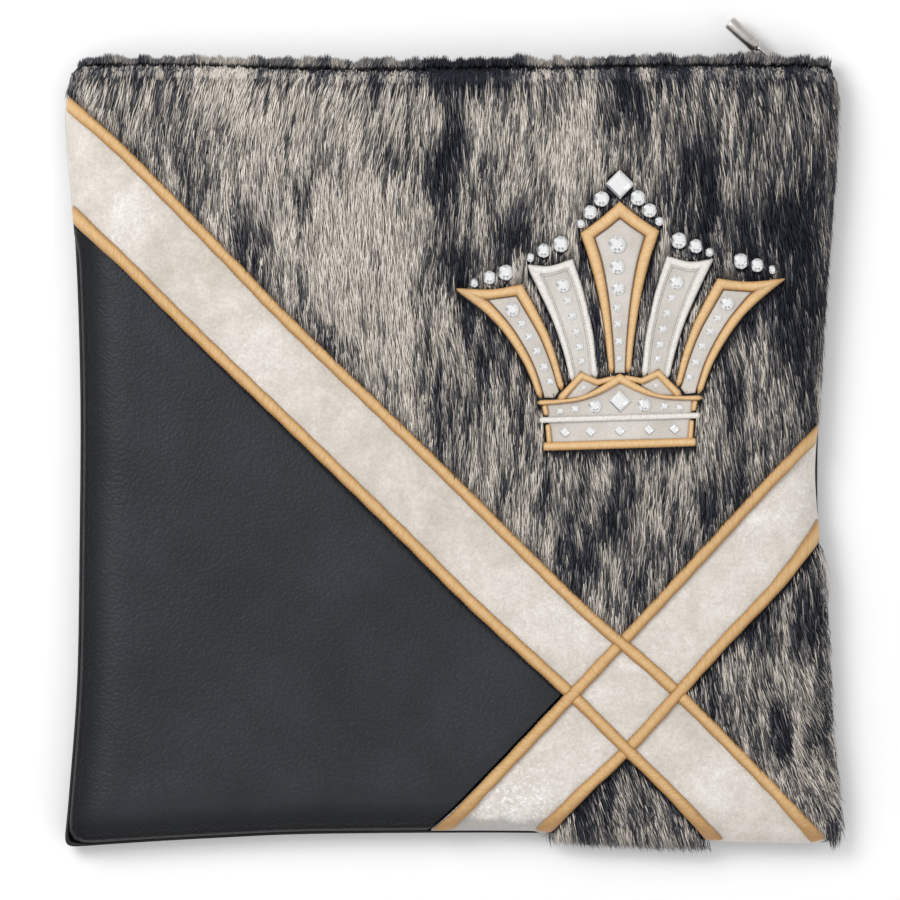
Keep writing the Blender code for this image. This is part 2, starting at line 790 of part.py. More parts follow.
def make_panels(finishes):
    """The seven front panels, cut from one sheet."""
    border = outline(1.0, *FRONT_RIM)
    rings = [outline(level, *FRONT_RIM, per_side=14, per_corner=3) for level in TOP_LEVELS]
    seats = crown_seats()
    cuts = [with_height(line, 0.0) for line in cut_lines()]
    x, y = np.meshgrid(MIDDLE_GRID, MIDDLE_GRID)
    middle = np.column_stack((x.ravel(), y.ravel(), 0 * x.ravel()))
    on_fur = np.isin(panel_of(middle[:, :2]), (3, 4, 5))
    ring_points = np.vstack([with_height(ring, RIM_FUR + (np.arange(len(ring)) % 2)) for ring in rings])
    clear = np.ones(len(ring_points), bool)
    for name in RUNS:
        clear &= np.abs(beyond(name, ring_points[:, :2])) > PANEL_EDGE + 0.8
    for seat in seats:
        clear &= ~inside(seat, ring_points[:, :2])
    loose = np.vstack((ring_points[clear], lock_points(seats), middle[~on_fur]))
    loops = [with_height(border, 0.0)] + [with_height(seat, 0.0) for seat in seats]
    top = triangulate(loops, cuts, loose)
    under = [outline(level, *FRONT_RIM, per_side=12, per_corner=3) for level in UNDER_LEVELS]
    under = with_height(np.vstack(under), 0.0)
    clear = np.ones(len(under), bool)
    for name in RUNS:
        clear &= np.abs(beyond(name, under[:, :2])) > PANEL_EDGE + 0.8
    bottom = triangulate(loops[:1], cuts, np.vstack((under[clear], middle[::2])))
    for number, (name, finish, wall) in enumerate(PANELS):
        sides = []
        for (plan, height, triangles), thickness in ((top, wall), (bottom, 0.0)):
            centre = plan[triangles].mean(1)
            mine = triangles[(panel_of(centre) == number) & inside(border, centre)]
            lift = thickness + (height if thickness == HIDE else 0.0)
            sides.append((front_points(plan, np.broadcast_to(lift, len(plan))), plan, mine))
        add_object(name, sheet(*sides), finishes[finish])


# Edging: each row passes over one row and is tucked under another.
TUCK = EDGING_WIDTH / 2 + GAP
EDGING_ROWS = (  # row, the row that it is tucked under, names of its two pieces from its first end
    ("long_upper", "short_lower", ("edging_long_upper_left", "edging_long_upper_right")),
    ("long_lower", "short_upper", ("edging_long_lower_left", "edging_long_lower_right")),
    ("short_upper", "long_upper", ("edging_short_upper_lower", "edging_short_upper_upper")),
    ("short_lower", "long_lower", ("edging_short_lower_lower", "edging_short_lower_upper")),
)


def make_edging(finish):
    """The padded gold stitching along both edges of each band."""
    for name, over, names in EDGING_ROWS:
        place = crossing(name, over)
        cut = along_row(name, place)
        for piece, (low, high) in zip(names, ((-400, cut - TUCK), (cut + TUCK, 400))):
            line = row_line(name, 0.0, low, high)
            line = line[rim(*line.T, *FRONT_RIM) < ROW_END]
            half = np.full(len(line), EDGING_WIDTH / 2)
            mesh = stitched_row(drawn_in(line, half), drawn_in(line, -half), BAND_WALL + GAP, EDGING_HEIGHT)
            add_object(piece, mesh, finish)


# The crown.


def jewelled_cloth(name, loop, stones, finish):
    """A field of cloth on the fur's hide, with cut stones set in it: plan place, radius and whether it is square."""
    loops = [with_height(loop, CLOTH_HEIGHT)]
    for place, radius, square in stones:
        ring = square_stone(radius) if square else round_stone(radius)
        loops.append(with_height(place + ring, CLOTH_HEIGHT))
        loops.append(with_height(place + TABLE * ring, CLOTH_HEIGHT + STONE_RISE * radius))
    none = np.empty((0, 3))
    sides = []
    for rings, height in ((loops, None), (loops[:1], 0.0)):
        plan, lift, triangles = triangulate(rings, [], none)
        triangles = triangles[inside(loop, plan[triangles].mean(1))]
        lift = CROWN_SEAT + (lift if height is None else 0 * lift)
        sides.append((front_points(plan, lift), plan, triangles))
    add_object(name, sheet(*sides), finish)


def set_stones(rows, side):
    """Round stones of the crown's tables as plan place, radius and whether it is square. side mirrors them."""
    return [(crown_place((side or 1) * away, up), radius, False) for away, up, radius in rows]


def make_points(finishes):
    """The crown's five points: a jewelled field of cloth inside a padded outline of satin stitching."""
    for name, kind, side in CROWN_POINTS:
        outer, inner = point_lines(kind, side)
        thread = "white thread" if kind == "near" else "gold thread"
        mesh = stitched_row(outer, inner, CROWN_SEAT, STITCH_HEIGHT)
        add_object(f"crown_{name}_edge", mesh, finishes[thread])
        away, up = CLOTH_FOOT[kind]
        loop = drawn_in(inner, -GAP if side < 0 else GAP)
        loop = np.vstack((loop, crown_place(side * away, up)))
        stones = set_stones(POINT_STONES[kind], side)
        jewelled_cloth(f"crown_{name}_cloth", loop, stones, finishes["crown cloth"])


def bar_row(start, stop, width, lift, height, pieces=6):
    """A straight padded bar between two places of the crown."""
    t = np.linspace(0, 1, pieces + 1)[:, None]
    line = np.array(start) + (np.array(stop) - np.array(start)) * t
    half = np.full(len(line), width / 2)
    first, second = crown_place(*drawn_in(line, half).T), crown_place(*drawn_in(line, -half).T)
    return stitched_row(first, second, lift, height)


def mirrored(rows):
    """A half crown's rows, from its right end to its middle, carried on to the left end."""
    rows = np.array(rows, float)
    flip = np.ones(rows.shape[1])
    flip[0] = -1
    return np.vstack((rows, rows[-2::-1] * flip))


SINK = 0.15  # how much lower some stitching lies where two rows are one piece


def make_base(finishes):
    """The crown's base: a jewelled field, a gold swag with its peaks and posts, and a white and a gold bar."""
    field = mirrored(BASE_CLOTH)
    low = np.array((BASE_CLOTH_LOW, (-BASE_CLOTH_LOW[0], BASE_CLOTH_LOW[1])))
    loop = crown_place(*np.vstack((field, low[::-1])).T)
    stones = []
    for away, up, radius, square in BASE_STONES:
        for side in (1, -1) if away else (1,):
            stones.append((crown_place(side * away, up), radius, bool(square)))
    jewelled_cloth("crown_base_cloth", loop, stones, finishes["crown cloth"])

    gold = finishes["gold thread"]
    rows = mirrored(SWAG)
    line, half = rows[:, :2], rows[:, 2] / 2
    first, second = crown_place(*drawn_in(line, half).T), crown_place(*drawn_in(line, -half).T)
    swag = add_object("crown_base_swag", stitched_row(first, second, CROWN_SEAT, STITCH_HEIGHT), gold)
    tools = []
    for side in (-1, 1):
        word = "left" if side < 0 else "right"
        rows = np.array(PEAK)
        flip = (side, 1)
        outer = crown_place(*(rows[:, :2] * flip).T)
        inner = crown_place(*(drawn_in(rows[:, :2], rows[:, 2]) * flip).T)
        peak = stitched_row(outer, inner, CROWN_SEAT + SINK, STITCH_HEIGHT)
        tools.append(add_object(f"guide_peak_{word}", peak, gold))
        start, stop = [(side * away, up) for away, up in POST_HIGH]
        post = bar_row(start, stop, POST_WIDTH, CROWN_SEAT + SINK, STITCH_HEIGHT, 1)
        tools.append(add_object(f"guide_post_{word}", post, gold))
        loop = crown_place(*(np.array(PEAK_CLOTH) * flip).T)
        stones = set_stones([PEAK_STONE], side)
        jewelled_cloth(f"crown_peak_{word}_cloth", loop, stones, finishes["crown cloth"])
    join_to(swag, tools)

    half_length, up, width = LOW_BAR
    mesh = bar_row((-half_length, up), (half_length, up), width, CROWN_SEAT, STITCH_HEIGHT)
    bar = add_object("crown_base_gold_bar", mesh, gold)
    tools = []
    for side in (-1, 1):
        start, stop = [(side * away, up) for away, up in POST_LOW]
        post = bar_row(start, stop, POST_WIDTH, CROWN_SEAT + SINK, STITCH_HEIGHT, 1)
        tools.append(add_object(f"guide_post_low_{side + 1}", post, gold))
    join_to(bar, tools)

    half_length, up, width = WHITE_BAR
    lift = CROWN_SEAT + CLOTH_HEIGHT + GAP
    mesh = bar_row((-half_length, up), (half_length, up), width, lift, STITCH_HEIGHT - CLOTH_HEIGHT)
    add_object("crown_base_white_bar", mesh, finishes["white thread"])


def make_stones(finish):
    """The flat-backed stones on the fur: a girdle, eight facets and a table each."""
    for number, (place, radius, square) in enumerate(stone_places(), 1):
        ring = square_stone(radius) if square else round_stone(radius)
        girdle = GIRDLE_RISE * radius
        levels = ((1.0, 0.0), (1.0, girdle), (TABLE, girdle + STONE_RISE * radius))
        rows = [front_points(place + size * ring, CROWN_SEAT + lift) for size, lift in levels]
        add_object(f"stone_{number:02d}", grid_solid(np.stack(rows)), finish)


# The back and the zip.


def seam_low(x, y):
    """Height of the back's rim, which dips under the zip."""
    return SEAM_HEIGHT - (SEAM_HEIGHT - ZIP_LOW) * zip_opening(x, y)


def make_back(finish):
    """The back: a shallow leather dish with a flat floor and a rounded edge."""
    rows = []
    for margin, levels in ((0.0, BACK_LEVELS), (BACK_WALL, BACK_LEVELS[::-1])):
        for level in levels:
            plan = outline(level, margin, *BACK_RIM[1:], **BACK_POINTS)
            turned = (level - BACK_LEVELS[0]) / (1 - BACK_LEVELS[0])
            floor = BACK_WALL if margin else 0.0
            z = floor + (seam_low(*plan.T) - floor) * (1 - math.sqrt(1 - turned**2))
            rows.append(np.column_stack((plan, z)))
    return add_object("back_panel", grid_solid(np.stack(rows)), finish)


def zip_wall(parts):
    """Stations along the zip's side wall, with each span of the back's rim cut in parts: x, y, low and high."""
    loop = outline(1.0, 0.0, *BACK_RIM[1:], **BACK_POINTS)
    x = np.sort(loop[np.abs(top_edge(loop[:, 0]) - loop[:, 1]) < 0.02, 0])
    x = x[(x > ZIP_LEFT) & (x < ZIP_RIGHT)]
    y = top_edge(x)
    high = SEAM_HEIGHT + GAP + (ZIP_HIGH - SEAM_HEIGHT) * zip_opening(x, y)
    station = np.arange((len(x) - 1) * parts + 1) / parts
    return [np.interp(station, np.arange(len(x)), values) for values in (x, y, seam_low(x, y), high)]


def zip_strip(name, low, high, inner, outer, finish, parts=1):
    """A strip along the zip's side wall. low and high are shares of the wall's height. inner and outer are where
    its two faces lie, from the bag's top edge. outer is a number for each line of points up the strip, or a
    function that gives those numbers for each station."""
    x, y, foot, head = zip_wall(parts)
    heights = outer(len(x)) if callable(outer) else np.broadcast_to(outer, (len(x), len(outer)))
    ring = []
    for share, out in zip(np.linspace(low, high, heights.shape[1]), heights.T):
        ring.append(np.stack((x, y + out, foot + share * (head - foot)), 1))
    for share in (high, low):
        ring.append(np.stack((x, y + inner, foot + share * (head - foot)), 1))
    return add_object(name, grid_solid(np.stack(ring, 1)), finish)


def facing_locks(count):
    """How far the facing's fur stands out: four lines of points, whose middle two have locks."""
    number = np.arange(count)
    low = np.where(number % 2, 3.0, 1.0)
    high = np.where(number % 2, 1.4, 4.4 + 0.6 * np.sin(7.0 * number))
    return np.stack((np.full(count, 0.6), low, high, np.full(count, 0.4)), 1)


def make_zip_wall(finishes):
    """The fur strip that folds over the top, the zip's two tapes and its closed coil."""
    zip_strip("fur_top_facing", 0.65, 0.97, -1.6, facing_locks, finishes["grey fur"], parts=4)
    zip_strip("zip_tape_front", 0.46, 0.62, -1.4, (-0.4, -0.4), finishes["zip tape"])
    zip_strip("zip_tape_back", 0.03, 0.24, -1.4, (-0.4, -0.4), finishes["zip tape"])
    zip_strip("zip_coil", 0.27, 0.43, -1.4, (0.1, COIL_OUT, COIL_OUT, 0.1), finishes["zip tape"])


def box_mesh(low, high):
    """A box between two corners."""
    size = np.array(high) - np.array(low)
    mesh = bmesh.new()
    bmesh.ops.create_cube(mesh, size=1.0)
    bmesh.ops.scale(mesh, vec=size, verts=mesh.verts)
    bmesh.ops.translate(mesh, vec=Vector((np.array(high) + np.array(low)) / 2), verts=mesh.verts)
    return mesh


def make_slider(finish):
    """The zip's slider: a plate over the coil, and an arch that the pull's ring passes through."""
    out = top_edge(SLIDER_X)
    plate = box_mesh((-PLATE_HALF, COIL_OUT + GAP, -PLATE_DEEP), (PLATE_HALF, PLATE_TOP, PLATE_DEEP))
    upright = [edge for edge in plate.edges if abs(edge.verts[0].co.y - edge.verts[1].co.y) > 0.1]
    bmesh.ops.bevel(plate, geom=upright, offset=PLATE_CORNER, segments=2, affect="EDGES")
    centre = (SLIDER_X, out, CHAIN_Z)
    slider = add_object("zip_slider", plate, finish, centre)
    profile = ARCH_OUTSIDE + tuple((-x, y) for x, y in ARCH_OUTSIDE[::-1])
    section = np.array(profile + ARCH_INSIDE)
    rows = np.array([[(x, PLATE_TOP + y, z) for x, y in section] for z in (-1.0, 1.0)])
    arch = add_object("guide_arch", grid_solid(rows), finish, centre)
    join_to(slider, [arch])


def make_pull(finish):
    """The pull, with its origin on the pin line of its ring: a wire ring, a neck and a barrel, along its own X."""
    corners = []
    far = RING_LENGTH - RING_CORNER
    centres = ((far, 1), (RING_CORNER, 1), (RING_CORNER, -1), (far, -1))
    for number, (along, up) in enumerate(centres):
        turn = np.radians(90 * number + np.array((0, 45, 90)))
        x = along + RING_CORNER * np.cos(turn)
        z = RING_CORNER * (up + np.sin(turn))
        corners.append(np.stack((x, z), 1))
    path = np.vstack(corners)
    ahead = np.roll(path, -1, axis=0) - np.roll(path, 1, axis=0)
    ahead /= np.linalg.norm(ahead, axis=1)[:, None]
    rings = []
    for turn in np.radians(np.arange(0, 360, 60)):
        sideways = WIRE / 2 * math.cos(turn)
        s = path[:, 0] + ahead[:, 1] * sideways
        z = path[:, 1] - ahead[:, 0] * sideways
        rings.append(np.stack((s, np.full(len(s), WIRE / 2 * math.sin(turn)), z), 1))
    rows = np.stack(rings, 1)
    count, ring = rows.shape[:2]
    faces = []
    for i in range(count):
        for j in range(ring):
            n, m = (i + 1) % count, (j + 1) % ring
            faces.append((i * ring + j, i * ring + m, n * ring + m, n * ring + j))
    centre = (SLIDER_X, top_edge(SLIDER_X) + PIVOT_OUT, CHAIN_Z)
    pull = add_object("zip_pull", mesh_from(rows.reshape(-1, 3), faces), finish, centre)
    turns = np.arange(12) * 2 * math.pi / 12
    barrel = []
    for s, radius in BARREL:
        barrel.append(np.stack((np.full(12, s), radius * np.cos(turns), radius * np.sin(turns)), 1))
    tool = add_object("guide_barrel", grid_solid(np.stack(barrel)), finish)
    tool.parent = pull
    join_to(pull, [tool])
    pull.rotation_euler = (0, 0, math.radians(PULL_TURN))


def main():
    for old in list(bpy.data.objects):
        bpy.data.objects.remove(old)
    finishes = {
        "black leather": material("black leather", (38, 38, 42), 0.55),
        "pebbled leather": material("pebbled leather", (52, 54, 60), 0.5),
        "grey fur": material("grey fur", (120, 115, 112), 0.9),
        "band suede": material("band suede", (222, 217, 210), 0.75),
        "gold thread": material("gold thread", (207, 160, 98), 0.45),
        "white thread": material("white thread", (240, 237, 233), 0.5),
        "crown cloth": material("crown cloth", (216, 208, 200), 0.8),
        "clear stone": material("clear stone", (240, 240, 242), 0.05),
        "zip tape": material("zip tape", (30, 30, 33), 0.8),
        "nickel": material("nickel", (190, 184, 180), 0.25, 1.0),
    }
    make_back(finishes["black leather"])
    make_panels(finishes)
    make_edging(finishes["gold thread"])
    make_points(finishes)
    make_base(finishes)
    make_stones(finishes["clear stone"])
    make_zip_wall(finishes)
    make_slider(finishes["nickel"])
    make_pull(finishes["nickel"])


main()
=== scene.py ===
# %% [markdown]
# A tallit bag, dressed for its portrait
#
# The bag is a flat square pouch, lightly filled, that lies on its back. Its front is speckled grey fur with a
# corner of black pebbled leather, crossed by two pale bands whose edges are padded gold stitching. A crown of
# cloth, satin stitch and clear stones is sewn on the fur, and a zip runs along the top edge.
#
# The solid model gives the sizes. This lesson puts finer surfaces over it, all worked out with numpy: a plan
# point (x, y) is placed on the bag's curved front by one function, and every panel, stitch and hair uses it.

# %% The solid model and its box
import math

import bmesh
import bpy
import numpy as np
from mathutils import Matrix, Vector


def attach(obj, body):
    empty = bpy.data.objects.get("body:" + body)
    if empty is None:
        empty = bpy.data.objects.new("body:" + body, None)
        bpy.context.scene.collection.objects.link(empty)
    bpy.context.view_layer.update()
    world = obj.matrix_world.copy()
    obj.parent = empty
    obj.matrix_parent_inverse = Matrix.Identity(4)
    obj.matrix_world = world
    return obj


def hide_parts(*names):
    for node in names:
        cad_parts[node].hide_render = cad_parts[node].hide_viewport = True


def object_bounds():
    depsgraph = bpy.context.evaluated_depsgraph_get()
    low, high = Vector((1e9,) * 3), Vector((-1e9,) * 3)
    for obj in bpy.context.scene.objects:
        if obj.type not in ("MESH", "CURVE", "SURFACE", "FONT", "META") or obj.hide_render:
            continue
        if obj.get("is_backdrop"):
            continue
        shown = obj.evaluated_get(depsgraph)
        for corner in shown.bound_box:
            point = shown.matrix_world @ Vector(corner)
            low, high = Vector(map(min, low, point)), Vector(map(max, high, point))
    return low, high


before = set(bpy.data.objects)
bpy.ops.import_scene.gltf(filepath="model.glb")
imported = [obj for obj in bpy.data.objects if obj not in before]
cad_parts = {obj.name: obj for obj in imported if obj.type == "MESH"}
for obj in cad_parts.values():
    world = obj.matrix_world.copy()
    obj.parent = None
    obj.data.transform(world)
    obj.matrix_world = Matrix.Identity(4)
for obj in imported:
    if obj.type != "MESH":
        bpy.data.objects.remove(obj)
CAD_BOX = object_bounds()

MM = 0.001
rng = np.random.default_rng(11)

# %% [markdown]
# Arrays into meshes
#
# A mesh is three lists: points, the corners of its faces, and where each face starts in that list of corners.
# Blender takes each as one flat array, so a hundred thousand hairs cost no Python loop. Colours are written
# as sRGB hex, as a paint chart gives them, and are made linear once, here.

# %% Colours and mesh arrays
def colour(chip):
    """sRGB hex to linear RGBA: each channel is ((c + 0.055) / 1.055) to the power 2.4."""
    parts = [int(chip[i : i + 2], 16) / 255 for i in (1, 3, 5)]
    return (*[((c + 0.055) / 1.055) ** 2.4 for c in parts], 1.0)


def put(name, points, faces, finish, uv=None, values=None, smooth=True):
    """Makes an object from points in millimetres and a list of face arrays. uv is one (u, v) and values one
    number for each point. It rides on the bag."""
    points = np.asarray(points, float).reshape(-1, 3)
    corners = np.concatenate([np.asarray(group).ravel() for group in faces])
    sizes = np.concatenate([np.full(len(group), np.shape(group)[1]) for group in faces])
    mesh = bpy.data.meshes.new(name)
    mesh.vertices.add(len(points))
    mesh.vertices.foreach_set("co", (points * MM).astype(np.float32).ravel())
    mesh.loops.add(len(corners))
    mesh.loops.foreach_set("vertex_index", corners.astype(np.int32))
    mesh.polygons.add(len(sizes))
    mesh.polygons.foreach_set("loop_start", (np.cumsum(sizes) - sizes).astype(np.int32))
    if uv is not None:
        layer = mesh.uv_layers.new(name="rows")
        layer.data.foreach_set("uv", np.asarray(uv, np.float32).reshape(-1, 2)[corners].ravel())
    if values is not None:
        layer = mesh.attributes.new("tone", "FLOAT", "POINT")
        layer.data.foreach_set("value", np.asarray(values, np.float32).ravel())
    mesh.update(calc_edges=True)
    mesh.polygons.foreach_set("use_smooth", np.full(len(sizes), smooth))
    mesh.materials.append(finish)
    made = bpy.data.objects.new(name, mesh)
    bpy.context.collection.objects.link(made)
    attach(made, "bag")
    return made


def grid_faces(rows, columns, around=False):
    """Quads of a grid of rows by columns. With around, the last column joins the first."""
    i, j = np.meshgrid(np.arange(rows - 1), np.arange(columns if around else columns - 1), indexing="ij")
    k = (j + 1) % columns
    near, far = i * columns, (i + 1) * columns
    return np.stack((near + j, near + k, far + k, far + j), -1).reshape(-1, 4)


def turn_out(made):
    """Turns the faces of a closed mesh outwards."""
    work = bmesh.new()
    work.from_mesh(made.data)
    bmesh.ops.recalc_face_normals(work, faces=work.faces)
    work.to_mesh(made.data)
    work.free()
    return made


def face_up(made):
    """Flips a sheet's faces if they look down."""
    normals = np.empty(3 * len(made.data.polygons), np.float32)
    made.data.polygons.foreach_get("normal", normals)
    if normals[2::3].sum() < 0:
        made.data.flip_normals()


def wall(made, thickness):
    """Gives a single surface a thickness in millimetres, away from its front."""
    solid = made.modifiers.new("wall", "SOLIDIFY")
    solid.thickness = thickness * MM
    solid.offset = -1.0
    return made


# %% [markdown]
# The bag's outline and its pillow form
#
# The real front is one sheet sewn to the back, so it is flat in the middle and rolls down to the seam. Its
# outline is read from four short tables of edges, smoothed by a Catmull-Rom curve. Level lines with rounded
# corners run from the flat middle (0) to the seam (1), and the height falls along them as a quarter circle.

# %% Outline tables, in millimetres
LEFT_EDGE = (  # y, x
    (-184, -180.0), (-158, -177.5), (-106, -173.8), (-40, -172.7), (20, -172.3), (75, -173.6),
    (118, -176.0), (157, -178.8), (182, -174.5),
)
RIGHT_EDGE = (  # y, x
    (-184, 178.5), (-160, 178.3), (-122, 174.5), (-60, 172.6), (-13, 171.2), (47, 173.0),
    (100, 176.7), (145, 179.8), (182, 178.5),
)
BOTTOM_EDGE = (  # x, y
    (-182, -184.5), (-150, -182.3), (-110, -180.0), (-60, -178.0), (40, -177.6), (100, -180.0),
    (150, -181.8), (182, -182.0),
)
TOP_EDGE = (  # x, y
    (-182, 180.6), (-110, 180.2), (-52, 178.4), (30, 179.0), (100, 180.0), (182, 180.6),
)
SEAM_HEIGHT = 10.0
FRONT_HEIGHT = 22.5
FRONT_SWELL = 1.4
ZIP_LOW = 3.8
ZIP_HIGH = 19.0
GAP = 0.3
HALF_WIDTH = 180
HALF_HEIGHT = 184
SIDE_ROLL = 22.0
HEAD_ROLL = 13.0
SEAM_INSET = 1.3
HEAD_INSET = 2.6
SHOWN_LINE = 1.5
CORNER_POWER = 7.0
BACK_RIM = (11.0, 11.0, 5.0)  # roll at the sides, roll at the top, corner power
HIDE = 1.2
LEATHER_WALL = 1.6
BAND_WALL = 1.8


def smooth_table(table, steps=12):
    """A Catmull-Rom curve through a table's rows, with so many steps between each two."""
    rows = np.array(table, float)
    ends = np.vstack((2 * rows[0] - rows[1], rows, 2 * rows[-1] - rows[-2]))
    t = np.linspace(0, 1, steps + 1)[:-1, None]
    spans = []
    for p0, p1, p2, p3 in zip(ends, ends[1:], ends[2:], ends[3:]):
        square = 2 * p0 - 5 * p1 + 4 * p2 - p3
        cube = 3 * p1 - p0 - 3 * p2 + p3
        spans.append((2 * p1 + (p2 - p0) * t + square * t**2 + cube * t**3) / 2)
    return np.vstack(spans + [rows[-1:]])


def edge_reader(table):
    """A function that reads an edge's place from its smoothed table."""
    rows = smooth_table(table)
    return lambda along: np.interp(along, rows[:, 0], rows[:, 1])


left_edge = edge_reader(LEFT_EDGE)
right_edge = edge_reader(RIGHT_EDGE)
bottom_edge = edge_reader(BOTTOM_EDGE)
top_edge = edge_reader(TOP_EDGE)


def smooth_step(t):
    """0 below 0, 1 above 1, and 3t² - 2t³ between."""
    t = np.clip(t, 0, 1)
    return t * t * (3 - 2 * t)


def zip_opening(x, y):
    """1 where the zip's side wall stands fully open, along the top edge, and 0 away from it."""
    from_side = np.minimum(x - left_edge(y), right_edge(y) - x)
    return smooth_step((from_side - 3.0) / 30.0) * smooth_step(1 - (top_edge(x) - y) / 70.0)


def inset(x, y):
    """How far the front's seam lies inside the back's rim: 1.3 mm, and 2.8 mm beside the leather and the
    short band's right end, where a line of the black back shows."""
    beside_leather = smooth_step((104 - y) / 14) * smooth_step((-120 - x) / 20)
    under_leather = smooth_step((-140 - y) / 20) * smooth_step((52 - x) / 16)
    beside_band = np.exp(-(((y + 8) / 22) ** 2)) * smooth_step((x - 120) / 30)
    return SEAM_INSET + SHOWN_LINE * np.maximum(np.maximum(beside_leather, under_leather), beside_band)


def rim(x, y):
    """0 on the flat middle and 1 along the seam: nearness to the sides, a, and to the ends, b, joined as
    (a^p + b^p)^(1/p), which rounds the corners like a superellipse."""
    margin = inset(x, y)
    side = np.minimum(x - left_edge(y), right_edge(y) - x) - margin
    foot = y - bottom_edge(x) - margin
    head = top_edge(x) - y - HEAD_INSET
    a = np.clip(1 - side / SIDE_ROLL, 0, None)
    b = np.maximum(np.clip(1 - foot / SIDE_ROLL, 0, None), np.clip(1 - head / HEAD_ROLL, 0, None))
    return (a**CORNER_POWER + b**CORNER_POWER) ** (1 / CORNER_POWER)


def on_front(plan):
    """Points of the front's underside and its normals, for an array of plan points (..., 2). The height falls
    as the root of 1 - level², like a quarter circle."""
    x, y = plan[..., 0], plan[..., 1]
    seam = SEAM_HEIGHT + GAP + (ZIP_HIGH - SEAM_HEIGHT) * zip_opening(x, y)
    level = np.clip(rim(x, y), 0, 1)
    rise = np.sqrt(1 - level**2)
    swell = FRONT_SWELL * (1 - (x / HALF_WIDTH) ** 2) * (1 - (y / HALF_HEIGHT) ** 2)
    z = seam + (FRONT_HEIGHT - seam) * rise + swell * rise
    slope_x = rim(x + 0.5, y) - rim(x - 0.5, y)
    slope_y = rim(x, y + 0.5) - rim(x, y - 0.5)
    depth = FRONT_HEIGHT - SEAM_HEIGHT
    normal = np.stack((level * slope_x, level * slope_y, np.maximum(rise, 0.02) / depth), -1)
    normal /= np.linalg.norm(normal, axis=-1, keepdims=True)
    return np.stack((x, y, z), -1), normal


def lifted(plan, lift):
    """Plan points placed on the front and lifted along its normal by lift."""
    places, normal = on_front(plan)
    return places + normal * np.broadcast_to(lift, plan.shape[:-1])[..., None]


print("front height at its middle", round(float(on_front(np.zeros(2))[0][2]), 2), "mm")

# %% [markdown]
# Four rows of gold
#
# Each band is edged by two rows of stitching. A row runs at about 45 degrees, so it is easiest read in turned
# coordinates: the way along it, and its place across. The same four lines later cut the panels and stop the
# hair, so nothing has to be lined up by hand.

# %% Row tables and turned coordinates
ROOT_TWO = math.sqrt(2)
FAR_OUT = 290.0  # along a row, past every edge of the bag
HALVINGS = 26
EDGING_WIDTH = 5.7
EDGING_HEIGHT = 2.4
BAND_EDGE = EDGING_WIDTH / 2 - 0.2
PANEL_EDGE = BAND_EDGE + GAP
ROW_TABLES = {  # x, y; and the sign that tells a long row from a short one
    "long_upper": (
        1,
        (
            (-178, 164), (-147.4, 134.9), (-104.6, 91.1), (-73.5, 58.9), (-8, -4.4), (59.5, -71.0),
            (98.6, -105.2), (139.5, -145.7), (174, -182),
        ),
    ),
    "long_lower": (
        1,
        (
            (-177.5, 115.5), (-167.4, 104.4), (-156.0, 92.9), (-119.5, 56.3), (-71.1, 9.8),
            (-23.2, -36.9), (11.6, -71.4), (56.3, -112.6), (79.0, -135.1), (104.2, -159.7),
            (128, -183.2),
        ),
    ),
    "short_upper": (
        -1,
        (
            (174.5, 15), (161.6, 0.9), (140.8, -22.3), (98.1, -68.8), (45.8, -124.6),
            (19.3, -152.5), (0.2, -171.1), (-14, -181.4),
        ),
    ),
    "short_lower": (
        -1,
        (
            (172.5, -30.5), (166.6, -41.4), (153.8, -59.5), (145.9, -68.8), (124.2, -91.6),
            (85.6, -134.9), (59.8, -159.5), (47.4, -171.1), (37.2, -180),
        ),
    ),
}


def turned(plan, sign):
    """Way along a row, x - sign*y, and place across it, x + sign*y, both over root 2."""
    x, y = plan[..., 0], sign * plan[..., 1]
    return (x - y) / ROOT_TWO, (x + y) / ROOT_TWO


def turned_back(along, across, sign):
    """Plan points from the way along a row and the place across it."""
    return np.stack(((along + across) / ROOT_TWO, sign * (across - along) / ROOT_TWO), -1)


ROWS = {}
for name, (sign, table) in ROW_TABLES.items():
    along, across = turned(smooth_table(table), sign)
    order = np.argsort(along)
    ROWS[name] = (along[order], across[order], sign)


def row_across(name, along):
    """Place across of a row's centre line."""
    return np.interp(along, ROWS[name][0], ROWS[name][1])


def beyond(name, plan):
    """How far plan points lie across a row, to the upper right of a long one or the lower right of a short
    one."""
    along, across = turned(plan, ROWS[name][2])
    return across - row_across(name, along)


def crossing(first, second):
    """Plan point where two rows cross, found by stepping onto one and then the other."""
    plan = np.zeros(2)
    for name in (first, second) * 20:
        plan = plan - beyond(name, plan) * np.array((1, ROWS[name][2])) / ROOT_TWO
    return plan


def meet(curve, inner, outer, border):
    """Bisection along many curves at once: where border(curve(t)) turns positive, between inner and outer."""
    for _ in range(HALVINGS):
        middle = (inner + outer) / 2
        out = border(curve(middle)) > 0
        inner, outer = np.where(out, inner, middle), np.where(out, middle, outer)
    return inner


def past_outline(plan):
    """Positive outside the front's outline."""
    return rim(plan[..., 0], plan[..., 1]) - 1


for name in ("short_upper", "short_lower"):
    met = [crossing(name, other).round(1) for other in ("long_upper", "long_lower")]
    print(name, "crosses the long rows at", *met)

# %% [markdown]
# Finishes
#
# Each real material is one node recipe. Leather is a field of rounded pebbles, which Voronoi cells give when
# their distance is used as a bump. The bands are pale suede rubbed unevenly, which is noise at three sizes.
# Satin stitch is hundreds of threads laid side by side, so its pattern follows the row: the mesh carries the
# way along and across each row as its UV map. Patterns are scaled by real sizes: one cell of a texture with
# scale s is 1/s metres wide.

